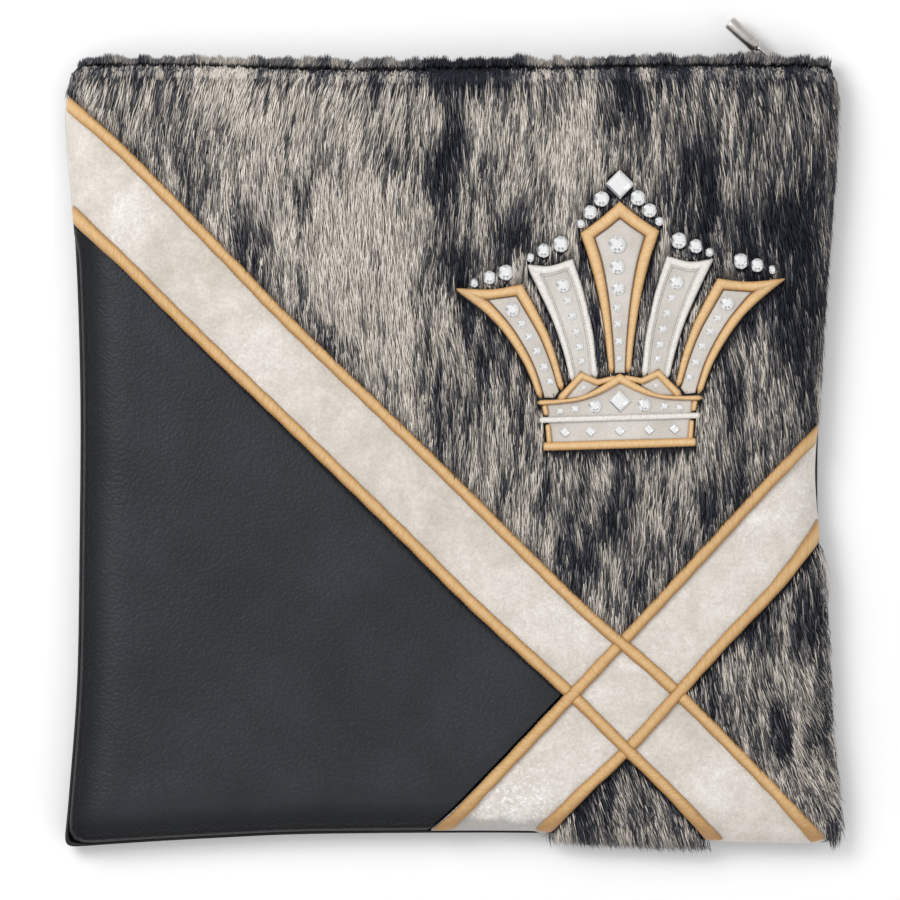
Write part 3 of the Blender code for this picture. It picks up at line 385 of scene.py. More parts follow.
# %% Node helpers
def finish(name, base, roughness, metallic=0.0, ior=1.5, **settings):
    """A Principled material. Further settings name its sockets with underscores."""
    made = bpy.data.materials.new(name)
    made.use_nodes = True
    shader = made.node_tree.nodes["Principled BSDF"]
    shader.inputs["Base Color"].default_value = colour(base)
    shader.inputs["Roughness"].default_value = roughness
    shader.inputs["Metallic"].default_value = metallic
    shader.inputs["IOR"].default_value = ior
    for socket, value in settings.items():
        shader.inputs[socket.replace("_", " ")].default_value = value
    return made


def node(made, kind, inputs, take=0, stops=(), **settings):
    """Adds a node and gives back one of its outputs. inputs has each socket's value, hex colour or output to
    link, stops are a ramp's (place, hex), and settings are the node's own properties."""
    tree = made.node_tree
    new = tree.nodes.new("ShaderNode" + kind)
    for key, value in settings.items():
        setattr(new, key, value)
    for socket, value in inputs.items():
        if isinstance(value, bpy.types.NodeSocket):
            tree.links.new(value, new.inputs[socket])
        else:
            new.inputs[socket].default_value = colour(value) if isinstance(value, str) else value
    if stops:
        band = new.color_ramp.elements
        while len(band) < len(stops):
            band.new(0.5)
        for element, (place, chip) in zip(band, stops):
            element.position = place
            element.color = colour(chip)
    return new.outputs[take]


def shade(made, base, rough=None, bumps=()):
    """Links a colour, a roughness and bumps (height, strength, depth in metres) to a material's shader."""
    shader = made.node_tree.nodes["Principled BSDF"]
    links = made.node_tree.links
    links.new(base, shader.inputs["Base Color"])
    if rough is not None:
        links.new(rough, shader.inputs["Roughness"])
    under = {}
    for height, strength, depth in bumps:
        bump = {"Height": height, "Strength": strength, "Distance": depth, **under}
        under = {"Normal": node(made, "Bump", bump)}
    if under:
        links.new(under["Normal"], shader.inputs["Normal"])
    return made


def mottled(made, scale, detail, stops):
    """Noise of so many cells for each metre, and the same noise coloured by a ramp."""
    place = node(made, "TexCoord", {}, "Object")
    spots = node(made, "TexNoise", {"Vector": place, "Scale": scale, "Detail": detail})
    return spots, node(made, "ValToRGB", {0: spots}, stops=stops)


# %% Leather
def pebbled(name, base, dark, light, pebble, strength, gloss=0.36, rim_shade=None):
    """Leather with rounded pebbles, so many millimetres wide: Voronoi cells whose distance is the bump, and
    whose place wavers by noise. The creases between pebbles are darker, a painted shade. Given a rim
    colour, a painted shade darkens the leather where it rolls down to its seam."""
    made = finish(name, base, 0.48, Specular_IOR_Level=gloss)
    place = node(made, "TexCoord", {}, "Object")
    waver = node(made, "TexNoise", {"Vector": place, "Scale": 260.0, "Detail": 2.0}, "Color")
    pushed = node(made, "VectorMath", {0: waver, 1: (0.0011, 0.0011, 0.0011)}, operation="MULTIPLY")
    where = node(made, "VectorMath", {0: place, 1: pushed}, operation="ADD")
    pebbles = {"Vector": where, "Scale": 1000 / pebble, "Smoothness": 0.6}
    cells = node(made, "TexVoronoi", pebbles, "Distance", feature="SMOOTH_F1")
    _, wear_and_shade = mottled(made, 28.0, 4.0, ((0.3, dark), (0.72, light)))
    # Painted shade: the creases between pebbles are darkened.
    crease_shade = node(made, "Math", {0: cells, 1: 0.75}, operation="MULTIPLY")
    skin = node(made, "Mix", {0: crease_shade, 6: wear_and_shade, 7: dark}, 2, data_type="RGBA")
    # Painted shade: the leather is darkened where it rolls down to its seam, by the level kept as the
    # attribute.
    if rim_shade:
        level = node(made, "Attribute", {}, "Fac", attribute_name="tone")
        rim_shade_share = node(made, "MapRange", {0: level, 1: 0.4, 2: 0.86})
        skin = node(made, "Mix", {0: rim_shade_share, 6: skin, 7: rim_shade}, 2, data_type="RGBA")
    scuffs = node(made, "TexNoise", {"Vector": place, "Scale": 160.0, "Detail": 3.0})
    rough = node(made, "MapRange", {0: scuffs, 3: 0.4, 4: 0.6})
    pores = node(made, "TexNoise", {"Vector": place, "Scale": 2600.0, "Detail": 2.0})
    lump = node(made, "Math", {0: 1.0, 1: cells}, operation="SUBTRACT")
    return shade(made, skin, rough, ((lump, strength, 0.0004), (pores, 0.12, 0.0001)))


# Cowhide, dyed charcoal and pebbled by rolling: soft wide highlights that small lumps break up.
# Its last colour is a painted shade on the roll down to the seam.
LEATHER = pebbled("pebbled_leather", "#2C2E34", "#24262B", "#33353B", 1.5, 0.85, 0.22, "#07090E")
# The same hide in black with a finer, flatter grain, so the back reads as one dark sheet.
BACK_LEATHER = pebbled("black_leather", "#1B1B1E", "#141416", "#212125", 1.1, 0.3)

# %% Suede of the bands
# Suede is split hide, sanded to a short nap. It has no gloss, and where rubbing laid the nap another way it
# reads lighter or darker: clouds 60 mm wide and rubs of 12 mm. Specks of 3 mm are drawn near-white, a
# painted glint of crushed nap. The nap itself is finer than a pixel, so it is drawn 1.4 mm wide.
SUEDE = finish("band_suede", "#DED9D2", 0.74, Specular_IOR_Level=0.3, Sheen_Weight=0.15, Sheen_Roughness=0.5)
place = node(SUEDE, "TexCoord", {}, "Object")
cloud = {"Vector": place, "Scale": 17.0, "Detail": 5.0, "Roughness": 0.6, "Distortion": 0.6}
clouds = node(SUEDE, "TexNoise", cloud)
stops = ((0.3, "#C3B9AC"), (0.46, "#CFC7BC"), (0.6, "#DAD3CB"), (0.74, "#E8E4DF"))
ground = node(SUEDE, "ValToRGB", {0: clouds}, stops=stops)
rub = {"Vector": place, "Scale": 85.0, "Detail": 6.0, "Roughness": 0.7, "Distortion": 0.3}
rubs_and_shade = node(SUEDE, "TexNoise", rub)
stops = ((0.32, "#C2BCB6"), (0.5, "#D7D1CA"), (0.66, "#EFECE8"))
rub_tone = node(SUEDE, "ValToRGB", {0: rubs_and_shade}, stops=stops)
skin = node(SUEDE, "Mix", {0: 0.42, 6: ground, 7: rub_tone}, 2, data_type="RGBA")
nap = node(SUEDE, "TexNoise", {"Vector": place, "Scale": 700.0, "Detail": 3.0, "Roughness": 0.6})
nap_tone = node(SUEDE, "ValToRGB", {0: nap}, stops=((0.35, "#C8C3BD"), (0.62, "#FFFFFF")))
skin = node(SUEDE, "Mix", {0: 0.3, 6: skin, 7: nap_tone}, 2, data_type="RGBA", blend_type="MULTIPLY")

# Near-white specks in the lighter clouds, a painted glint of crushed nap.
crush_glint_noise = {"Vector": place, "Scale": 330.0, "Detail": 5.0, "Roughness": 0.75, "Distortion": 1.5}
crush_glint = node(SUEDE, "MapRange", {0: node(SUEDE, "TexNoise", crush_glint_noise), 1: 0.5, 2: 0.66})
patch = node(SUEDE, "MapRange", {0: clouds, 1: 0.46, 2: 0.64})
painted_glint = crush_glint
for share in (patch, 0.5):
    painted_glint = node(SUEDE, "Math", {0: painted_glint, 1: share}, operation="MULTIPLY")
skin = node(SUEDE, "Mix", {0: painted_glint, 6: skin, 7: "#FBFAF8"}, 2, data_type="RGBA")

# The foot of the short band has more near-white specks, a painted glint, and its last few millimetres are
# drawn grey, with a ragged top.
x, y = [node(SUEDE, "SeparateXYZ", {0: place}, axis) for axis in (0, 1)]
left = node(SUEDE, "MapRange", {0: x, 1: 0.052, 2: 0.042})
foot_glint = node(SUEDE, "MapRange", {0: y, 1: -0.138, 2: -0.158})
for share in (left, crush_glint, 0.7):
    foot_glint = node(SUEDE, "Math", {0: foot_glint, 1: share}, operation="MULTIPLY")
skin = node(SUEDE, "Mix", {0: foot_glint, 6: skin, 7: "#FBFAF8"}, 2, data_type="RGBA")
waver = node(SUEDE, "Math", {0: rubs_and_shade, 1: 0.012}, operation="MULTIPLY")
ragged = node(SUEDE, "Math", {0: y, 1: waver}, operation="ADD")
grey_foot_line = node(SUEDE, "MapRange", {0: ragged, 1: -0.1635, 2: -0.1665})
for share in (left, 0.75):
    grey_foot_line = node(SUEDE, "Math", {0: grey_foot_line, 1: share}, operation="MULTIPLY")
skin = node(SUEDE, "Mix", {0: grey_foot_line, 6: skin, 7: "#A3A09D"}, 2, data_type="RGBA")
shade(SUEDE, skin, None, ((rubs_and_shade, 0.18, 0.0006), (nap, 0.25, 0.00018)))


# %% Satin stitch
def satin(name, edge, shadow, body, light, thread=0.42, fluff=0.0, wear_and_shade=0.0):
    """Satin stitch of a thread so many millimetres wide. v, the way across the row, darkens its two edges
    and lightens its crest: a painted shade and a painted highlight. Threads lie across the row, so noise is
    stretched along v and has one thread's width along u, and the same streaks are its bump. Threads lie in
    uneven bunches, which fray the edges. The last argument is how much of the shadow tone is painted on the
    side that faces down the bag, a painted shade, and fluff is the bump of woolly thread."""
    made = finish(name, body, 0.46, Specular_IOR_Level=0.45, Sheen_Weight=0.25, Sheen_Roughness=0.35)
    uv = node(made, "UVMap", {}, uv_map="rows")
    along, across = [node(made, "SeparateXYZ", {0: uv}, axis) for axis in (0, 1)]
    slant = node(made, "Math", {0: across, 1: 0.9}, operation="MULTIPLY")
    lean = node(made, "Math", {0: along, 1: slant}, operation="ADD")
    thread_u = node(made, "Math", {0: lean, 1: 1 / thread}, operation="MULTIPLY")
    thread_v = node(made, "Math", {0: across, 1: 0.8}, operation="MULTIPLY")
    where = node(made, "CombineXYZ", {0: thread_u, 1: thread_v})
    streak = node(made, "TexNoise", {"Vector": where, "Scale": 1.0, "Detail": 2.0, "Roughness": 0.6})
    where = node(made, "CombineXYZ", {0: along, 1: across})
    broad = node(made, "TexNoise", {"Vector": where, "Scale": 0.22, "Detail": 2.0})
    bunch_u = node(made, "Math", {0: lean, 1: 0.75}, operation="MULTIPLY")
    where = node(made, "CombineXYZ", {0: bunch_u, 1: across})
    bunch = node(made, "TexNoise", {"Vector": where, "Scale": 1.0, "Detail": 3.0, "Roughness": 0.7})
    frayed = node(made, "Math", {0: across, 1: 0.5}, operation="SUBTRACT")
    frayed = node(made, "Math", {0: frayed}, operation="ABSOLUTE")
    for uneven, amount in ((streak, 0.2), (bunch, 0.3)):
        offset = node(made, "Math", {0: uneven, 1: 0.5}, operation="SUBTRACT")
        offset = node(made, "Math", {0: offset, 1: amount}, operation="MULTIPLY")
        frayed = node(made, "Math", {0: frayed, 1: offset}, operation="ADD")
    # Across the row: a painted highlight along the crest and painted shade towards the two edges.
    sides = ((0.1, light), (0.27, body), (0.38, shadow), (0.45, edge))
    tone = node(made, "ValToRGB", {0: frayed}, stops=sides)
    tint = node(made, "ValToRGB", {0: streak}, stops=((0.3, shadow), (0.5, body), (0.68, light)))
    skin = node(made, "Mix", {0: 0.48, 6: tone, 7: tint}, 2, data_type="RGBA")
    calm = node(made, "Math", {0: broad, 1: 0.35}, operation="MULTIPLY")
    skin = node(made, "Mix", {0: calm, 6: skin, 7: body}, 2, data_type="RGBA")
    # Painted shade: the side of a row that faces down the bag takes the shadow tone, raggedly.
    facing = node(made, "NewGeometry", {}, "True Normal")
    upward = node(made, "SeparateXYZ", {0: facing}, 1)
    patchy = node(made, "Math", {0: bunch, 1: 0.7}, operation="MULTIPLY")
    ragged = node(made, "Math", {0: upward, 1: patchy}, operation="ADD")
    rubs_and_shade = node(made, "MapRange", {0: ragged, 1: 0.3, 2: -0.25, 4: wear_and_shade})
    skin = node(made, "Mix", {0: rubs_and_shade, 6: skin, 7: shadow}, 2, data_type="RGBA")
    place = node(made, "TexCoord", {}, "Object")
    wool = node(made, "TexNoise", {"Vector": place, "Scale": 950.0, "Detail": 3.0})
    return shade(made, skin, None, ((streak, 0.8, 0.0005), (bunch, 0.5, 0.0007), (wool, fluff, 0.0008)))


# Embroidery thread is glossy along its length only, so a row of it shows fine streaks and a soft sheen.
# Real thread is 0.2 mm wide. It is drawn at 0.4 to 0.8 mm, as coarse as it has to be to show.
# A row's four colours run from its edge to its crest: the two darkest are painted shade, the lightest a
# painted highlight.
BROWN = satin("brown_thread", "#3F2711", "#5A3A1E", "#77502B", "#8A6138", 0.5)
# The gold rows get a painted shade on their lower side, more on the long rows than on the crown.
GOLD = satin("gold_thread", "#6B4520", "#A0733F", "#CFA368", "#E0BD8C", wear_and_shade=0.75)
CROWN_GOLD = satin("crown_gold_thread", "#94693A", "#BD9058", "#DDB27A", "#EACB9E", wear_and_shade=0.35)
WHITE = satin("white_thread", "#9C948B", "#CBC4BC", "#E4DFD9", "#F2EFEB", 0.8, 0.9)

# %% Cloth, hair, hide, tape, metal and stone
# Brushed cotton: matt, with a faint mottle.
CLOTH = finish("crown_cloth", "#D8D1CB", 0.8, Specular_IOR_Level=0.25, Sheen_Weight=0.2)
_, cloudy = mottled(CLOTH, 60.0, 4.0, ((0.35, "#C6C0B8"), (0.65, "#D6D1CA")))
nap, nap_tone = mottled(CLOTH, 1500.0, 2.0, ((0.35, "#C2BAB4"), (0.65, "#FFFFFF")))
cloudy = node(CLOTH, "Mix", {0: 0.25, 6: cloudy, 7: nap_tone}, 2, data_type="RGBA", blend_type="MULTIPLY")
shade(CLOTH, cloudy, None, ((nap, 0.3, 0.0002),))

# Fur: each hair's tone comes from its attribute, from blue-black through grey to cream, with a slight shine.
# The attribute is lower at each root, a painted shade.
HAIR = finish("speckled_hair", "#8E8883", 0.5, Specular_IOR_Level=0.3)
tone = node(HAIR, "Attribute", {}, "Fac", attribute_name="tone")
dark = ((0.0, "#14161F"), (0.22, "#292C38"), (0.42, "#5F6065"))
stops = (*dark, (0.62, "#9E9893"), (0.82, "#D2C9BE"), (1.0, "#EAE3DA"))
shade(HAIR, node(HAIR, "ValToRGB", {0: tone}, stops=stops))

# The bare hide between the hairs is matt and nearly black.
HIDE_SKIN = finish("hide", "#24252C", 0.85)
_, blackish = mottled(HIDE_SKIN, 300.0, 3.0, ((0.3, "#1B1C23"), (0.7, "#33343B")))
shade(HIDE_SKIN, blackish)

# Woven nylon tape, with its ribs a third of a millimetre apart.
TAPE = finish("zip_tape", "#1E1E21", 0.8)
place = node(TAPE, "TexCoord", {}, "Object")
weave = node(TAPE, "TexWave", {"Vector": place, "Scale": 900.0}, "Fac", bands_direction="X")
woven = node(TAPE, "ValToRGB", {0: weave}, stops=((0.2, "#17171A"), (0.8, "#2A2A2E")))
shade(TAPE, woven, None, ((weave, 0.4, 0.0002),))

# Nickel plate, tumbled and then handled: a warm grey metal whose shine is a little uneven.
NICKEL = finish("polished_nickel", "#C9C4C0", 0.2, 1.0)
place = node(NICKEL, "TexCoord", {}, "Object")
handled = node(NICKEL, "TexNoise", {"Vector": place, "Scale": 420.0, "Detail": 4.0})
scuffed = node(NICKEL, "MapRange", {0: handled, 3: 0.26, 4: 0.4})
_, warm = mottled(NICKEL, 200.0, 3.0, ((0.3, "#B9B3AF"), (0.7, "#D6D2CE")))
shade(NICKEL, warm, scuffed)

# Cut and polished glass. A few facets, picked by the way they face, are coloured grey instead of white, a
# painted reflection.
CRYSTAL = finish("clear_crystal", "#FFFFFF", 0.02, 0.0, 1.56, Transmission_Weight=0.3)
facet = node(CRYSTAL, "NewGeometry", {}, "True Normal")
picked = node(CRYSTAL, "TexNoise", {"Vector": facet, "Scale": 4.0, "Detail": 1.0})
stops = ((0.34, "#A9ADB2"), (0.41, "#F8F9FA"), (0.55, "#FFFFFF"))
shade(CRYSTAL, node(CRYSTAL, "ValToRGB", {0: picked}, stops=stops))
# The foil behind a stone is a thin bright mirror.
FOIL = finish("silver_foil", "#F2F2F4", 0.08, 1.0)
print("finishes", len(bpy.data.materials))

# %% [markdown]
# Leather corner and pale bands
#
# On the real bag these are cut pieces that are sewn down along their edges, so they puff a little between the
# seams. A band is the set of lines between its two rows: for every place across it, bisection finds how far
# the line runs before it meets the seam or the other band. The leather corner is filled by lines that leave
# the long band and bend to lie along the short one. A wall is then given by Solidify.

# %% Panels as two-parameter surfaces
RIPPLE = 0.22
SEWN_FLAT = 2.5
SEWN_EASE = 9.0
FOLD_LEVEL = 0.93
FOLD_WIDTH = 0.03


def end_spread(count, power=1.0):
    """Shares from 0 to 1 that crowd towards both ends, where the front rolls down."""
    t = np.linspace(0, 1, count)
    return (1 - power) * t + power * (0.5 - 0.5 * np.cos(math.pi * t))


def panel(name, plan, thickness, skin, node_name, puff=0.5, fold=0.0):
    """A panel from its plan grid: lifted to its thickness, with a soft swell that is low along its sewn
    edges. fold is the height of a narrow fold along the seam, a bell curve of the level round FOLD_LEVEL. The
    level is kept as the attribute, for the finish."""
    rows, columns = plan.shape[:2]
    nearest = np.full((rows, columns), 1e9)
    for row in ROWS:
        nearest = np.minimum(nearest, np.abs(beyond(row, plan)))
    x, y = plan[..., 0], plan[..., 1]
    ripple = RIPPLE * np.sin(x / 9.0 + 1.3 * np.sin(y / 17.0)) * np.sin(y / 12.0)
    inner = smooth_step((nearest - SEWN_FLAT) / SEWN_EASE)
    level = np.clip(rim(x, y), 0, 1)
    folded = fold * np.exp(-(((level - FOLD_LEVEL) / FOLD_WIDTH) ** 2))
    lift = thickness + inner * (1 - level**4) * (puff + ripple) + folded
    made = put(name, lifted(plan, lift), [grid_faces(rows, columns)], skin, values=level)
    face_up(made)
    wall(made, thickness - GAP)
    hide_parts(node_name)
    return made


def band_plan(upper, lower, sign, start, ends, count, wide=26):
    """Plan grid of a band. ends are the two border functions, below and above start along it."""
    share = np.linspace(0, 1, wide)
    reach = -sign * BAND_EDGE

    def line(along):
        low, high = row_across(lower, along), row_across(upper, along)
        low, high = low + reach, high - reach
        return turned_back(along, low + (high - low) * share, sign)

    first = meet(line, np.full(wide, start), np.full(wide, -FAR_OUT), ends[0])
    last = meet(line, np.full(wide, start), np.full(wide, FAR_OUT), ends[1])
    t = end_spread(count, 0.7)[:, None]
    return np.stack([line(along) for along in first + (last - first) * t])


UNDERLAP = 0.5


def over_long_upper(plan):
    """Positive where a plan point lies under the long band's upper row."""
    return BAND_EDGE - UNDERLAP - beyond("long_upper", plan)


def over_long_lower(plan):
    """Positive where a plan point lies under the long band's lower row."""
    return BAND_EDGE - UNDERLAP + beyond("long_lower", plan)


long_rows, short_rows = ("long_upper", "long_lower", 1), ("short_upper", "short_lower", -1)
plans = {
    "band_long": band_plan(*long_rows, 30.0, (past_outline, past_outline), 240),
    "band_short_upper": band_plan(*short_rows, 67.0, (over_long_upper, past_outline), 90),
    "band_short_lower": band_plan(*short_rows, -95.0, (past_outline, over_long_lower), 60),
}
soft_panels = {}
for node_name, plan in plans.items():
    soft_panels[node_name] = panel(node_name + "_suede", plan, BAND_WALL, SUEDE, node_name, 0.7)

# %% The leather corner
CORNER_SHORT = 3.9  # how far before the crossing of the rows the leather ends


def under_long_band(along):
    """Plan points where the leather meets the long band."""
    return turned_back(along, row_across("long_lower", along) - PANEL_EDGE, 1)


corner_start = meet(under_long_band, np.array(0.0), np.array(-FAR_OUT), past_outline)
corner_end = turned(crossing("long_lower", "short_upper"), 1)[0]
t = (1 - (1 - np.linspace(0, 1, 110)) ** 1.4)[:, None]
base_along = corner_start + (corner_end - CORNER_SHORT - corner_start) * t[:, 0]
base_way, base_side = turned(under_long_band(base_along), -1)
bend_from = turned(crossing("long_lower", "short_upper"), -1)[0]


def leather_line(way):
    """Lines that leave the long band at 45 degrees and bend to follow the short band, more the nearer they
    are."""
    bend = row_across("short_upper", way) - row_across("short_upper", bend_from)
    return turned_back(way, base_side + bend * t[:, 0] ** 2, -1)


stop = meet(leather_line, base_way, np.full(len(base_way), -FAR_OUT), past_outline)
down = (1 - (1 - np.linspace(0, 1, 90)) ** 1.7)[:, None]
plan = np.stack([leather_line(way) for way in base_way + (stop - base_way) * down])
corner = panel("leather_corner", plan, LEATHER_WALL, LEATHER, "leather_panel", 0.6, 0.5)
soft_panels["leather_panel"] = corner
print("panels", {name: len(made.data.polygons) for name, made in soft_panels.items()})

# %% [markdown]
# Rows of satin stitch
#
# A satin row is padding covered by threads that cross from one side to the other, so its section is a low
# arch. It is a profile carried along a path: each station of the row has eleven points on a half ellipse and
# two under it. The ends close like a finger tip. The map's u is the way along in millimetres and v the share
# across, for the thread pattern.

# %% One function for every row
ARCH = np.linspace(0, math.pi, 11)
FINGER_TIP = 1.5
SEAM_LIFT = 0.2
SEAM_FLAT = 0.7  # how much of an edging's height is lost at the seam


def satin_row(name, first, second, base_lift, height, skin, nodes, near_edge=False):
    """A padded row between two plan lines. Across is (1 - cos a) / 2 and up is the root of sin a. Its ends
    narrow over FINGER_TIP as a quarter circle. near_edge lowers it where the front rolls down."""
    middle = (first + second) / 2
    steps = np.linalg.norm(np.diff(middle, axis=0), axis=1)
    way = np.concatenate(([0.0], np.cumsum(steps)))
    end = np.clip(np.minimum(way, way[-1] - way) / FINGER_TIP, 0, 1)
    round_off = np.sqrt(1 - (1 - end) ** 2) * 0.96 + 0.04
    level = np.clip(rim(middle[:, 0], middle[:, 1]), 0, 1)
    lift = base_lift + (SEAM_LIFT if near_edge else 0.0) * level
    tall = height * round_off * ((1 - SEAM_FLAT * level**5) if near_edge else 1.0)
    across = np.concatenate(((1 - np.cos(ARCH)) / 2, [0.75, 0.25]))
    up = np.concatenate((np.sqrt(np.clip(np.sin(ARCH), 0, 1)), [0.0, 0.0]))
    narrow = 0.5 + (across[None, :] - 0.5) * (0.4 + 0.6 * round_off[:, None])
    fray = 0.03 * np.sin(way * 2.9)[:, None] * np.sign(across - 0.5)[None, :] * (up[None, :] < 0.5)
    plan = first[:, None] + (second - first)[:, None] * (narrow + fray)[..., None]
    points = lifted(plan, lift[:, None] + tall[:, None] * up[None, :])
    count, ring = points.shape[:2]
    uv = np.stack(np.broadcast_arrays(way[:, None], across[None, :]), -1)
    caps = [np.arange(ring)[None, :], (count - 1) * ring + np.arange(ring)[None, ::-1]]
    made = put(name, points, [grid_faces(count, ring, True), *caps], skin, uv)
    turn_out(made)
    if nodes:
        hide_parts(*nodes)
    return made


def row_line(name, low, high, step=1.0):
    """Plan points along a row's centre line, from one way along it to another."""
    low, high = max(low, ROWS[name][0][0] - 9), min(high, ROWS[name][0][-1] + 9)
    along = np.linspace(low, high, max(3, int((high - low) / step)))
    return turned_back(along, row_across(name, along), ROWS[name][2])


def drawn_in(line, width, sharpest=0.0):
    """A line's points moved to its left by width, mitred at its corners: the two edge normals added, over one
    plus their dot product, which is kept above sharpest."""
    step = np.diff(line, axis=0)
    step /= np.linalg.norm(step, axis=1)[:, None]
    normal = np.stack((-step[:, 1], step[:, 0]), 1)
    before = np.vstack((normal[:1], normal))
    after = np.vstack((normal, normal[-1:]))
    mitre = (before + after) / np.maximum(sharpest, 1 + np.sum(before * after, axis=1))[:, None]
    return line + mitre * np.reshape(width, (-1, 1))


def resample(line, count):
    """So many points evenly along a line."""
    way = np.concatenate(([0.0], np.cumsum(np.linalg.norm(np.diff(line, axis=0), axis=1))))
    here = np.linspace(0, way[-1], count)
    return np.stack([np.interp(here, way, line[:, i]) for i in range(line.shape[1])], 1)


TUCK = 1.7
WAVER, WAVER_TURN = 0.1, 0.37  # a row's half width swells by so much, in radians for each millimetre
EDGING = (  # row, the row that it is tucked under, its two nodes
    ("long_upper", "short_lower", ("edging_long_upper_left", "edging_long_upper_right")),
    ("long_lower", "short_upper", ("edging_long_lower_left", "edging_long_lower_right")),
    ("short_upper", "long_upper", ("edging_short_upper_lower", "edging_short_upper_upper")),
    ("short_lower", "long_lower", ("edging_short_lower_lower", "edging_short_lower_upper")),
)
for row, over, nodes in EDGING:
    cut = turned(crossing(row, over), ROWS[row][2])[0]
    for node_name, (low, high) in zip(nodes, ((-FAR_OUT, cut - TUCK), (cut + TUCK, FAR_OUT))):
        line = row_line(row, low, high)
        half = EDGING_WIDTH / 2 + WAVER * np.sin(np.arange(len(line)) * WAVER_TURN)
        sides = [drawn_in(line, half), drawn_in(line, -half)]
        sides = [side[past_outline(side) < -0.005] for side in sides]
        count = max(len(side) for side in sides)
        sides = [resample(side, count) for side in sides]
        lift = BAND_WALL + 0.1
        made = satin_row(node_name + "_thread", *sides, lift, EDGING_HEIGHT, GOLD, [node_name], True)

# %% [markdown]
# The crown
#
# The crown is an appliqué: five points of cloth, each outlined in satin stitch, that stand on a jewelled
# base. Tables give the outside of each point's stitching and its width there, measured from the middle of the
# base. The lines are smoothed between their sharp corners. The cloth inside is a Coons patch: it is blended
# from its four sides, so it fills a curved shape with one even grid.

# %% Crown tables, in millimetres
CROWN_X = 78.9
CROWN_Y = 9.0
CROWN_SLOPE = 0.03
CROWN_SEAT = HIDE + GAP
STITCH_HEIGHT = 2.6
CLOTH_HEIGHT = 1.0
POINTS = {  # away, up, width
    "far": (
        (37.8, 16.4, 2.8), (43.8, 31.7, 3.6), (52.8, 46.4, 4.3), (62.6, 57.5, 4.9),
        (78.0, 69.8, 5.0), (60.0, 68.5, 4.6), (45.3, 70.6, 5.0), (38.8, 58.9, 4.8),
        (33.0, 46.8, 4.1), (28.7, 34.1, 3.5), (25.5, 20.9, 2.8),
    ),
    "near": (
        (22.9, 24.0, 2.6), (26.4, 38.4, 3.1), (31.2, 52.6, 3.5), (37.4, 66.3, 4.3),
        (43.9, 79.7, 4.5), (32.6, 78.6, 4.2), (21.7, 81.8, 4.0), (17.3, 68.4, 3.4),
        (13.8, 54.7, 3.3), (11.3, 40.9, 3.3), (9.7, 25.7, 3.4),
    ),
    "middle": (
        (5.2, 27.3, 2.7), (6.8, 42.7, 3.4), (9.4, 59.9, 4.3), (13.2, 76.8, 5.2), (18.5, 93.3, 5.6),
        (8.9, 100.1, 5.7), (0.0, 107.7, 5.9),
    ),
}
CORNERS = {"far": (4, 6), "near": (4, 6), "middle": (4, 6, 8)}
CLOTH_FOOT = {"far": (30.6, 17.0), "near": (18.3, 29.3), "middle": (0.0, 27.9)}
CROWN_POINTS = (
    ("far_left", "far", -1),
    ("near_left", "near", -1),
    ("middle", "middle", 0),
    ("near_right", "near", 1),
    ("far_right", "far", 1),
)
SWAG = ((38.4, 15.0, 2.6), (28.1, 15.3, 2.0), (18.0, 16.5, 2.0), (8.7, 20.2, 3.2), (0.0, 25.2, 4.2))
PEAK = ((30.0, 16.6, 3.6), (18.3, 28.9, 3.3), (10.1, 25.2, 3.0), (1.8, 26.9, 2.4))
PEAK_CLOTH = ((25.6, 16.6), (17.5, 25.4), (9.8, 21.8), (17.5, 16.9))
BASE_CLOTH = ((34.0, 14.1), (27.7, 14.4), (17.9, 15.6), (8.7, 18.9), (0.0, 23.6))
BASE_CLOTH_LOW = (31.9, -4.0)
POST_HIGH = ((35.2, 14.2), (34.0, 8.7))
POST_LOW = ((33.5, 5.1), (32.7, -4.4))
POST_WIDTH = 2.5
WHITE_BAR = (37.7, 6.9, 2.8)
LOW_BAR = (36.0, -5.4, 4.1)


FIELD_PUFF = 0.35
FIELD_WALL = 0.8


def crown_place(away, up):
    """Plan place of a point of the crown. The base slopes up a little to the right."""
    away, up = np.broadcast_arrays(np.asarray(away, float), np.asarray(up, float))
    return np.stack((CROWN_X + away, CROWN_Y + up + CROWN_SLOPE * away), -1)


def smooth_between(rows, corners, steps=6):
    """Catmull-Rom curves through rows, broken at the numbered corners."""
    cuts = [0, *corners, len(rows) - 1]
    spans = [smooth_table(rows[a : b + 1], steps)[:-1] for a, b in zip(cuts, cuts[1:]) if b > a]
    return np.vstack(spans + [rows[-1:]])


def mirrored(rows):
    """A half crown's rows, from its right end to its middle, carried on to the left end."""
    rows = np.array(rows, float)
    flip = np.ones(rows.shape[1])
    flip[0] = -1
    return np.vstack((rows, rows[-2::-1] * flip))


def coons(left, right, foot, head, rows=40, columns=12):
    """A grid blended from four sides: left to right plus foot to head, less the blend of the four corners."""
    left, right = resample(left, rows)[:, None], resample(right, rows)[:, None]
    foot, head = resample(foot, columns)[None], resample(head, columns)[None]
    t = np.linspace(0, 1, rows)[:, None, None]
    w = np.linspace(0, 1, columns)[None, :, None]
    low, high = [(1 - w) * side[:, :1] + w * side[:, -1:] for side in (foot, head)]
    corners = (1 - t) * low + t * high
    return (1 - w) * left + w * right + (1 - t) * foot + t * head - corners


def crown_cloth(name, plan, node_name):
    """A field of cloth on the fur's hide, crowned by a third of a millimetre between its seams."""
    rows, columns = plan.shape[:2]
    t = np.sin(np.linspace(0, math.pi, rows))[:, None]
    w = np.sin(np.linspace(0, math.pi, columns))[None, :]
    lift = CROWN_SEAT + CLOTH_HEIGHT + FIELD_PUFF * np.sqrt(t * w)
    made = put(name, lifted(plan, lift), [grid_faces(rows, columns)], CLOTH)
    face_up(made)
    wall(made, FIELD_WALL)
    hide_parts(node_name)
    return made


def both_sides(line, half):
    """The two plan lines that lie half a row's width to each side of a line of the crown."""
    return [crown_place(*drawn_in(line, turn * half).T) for turn in (1, -1)]


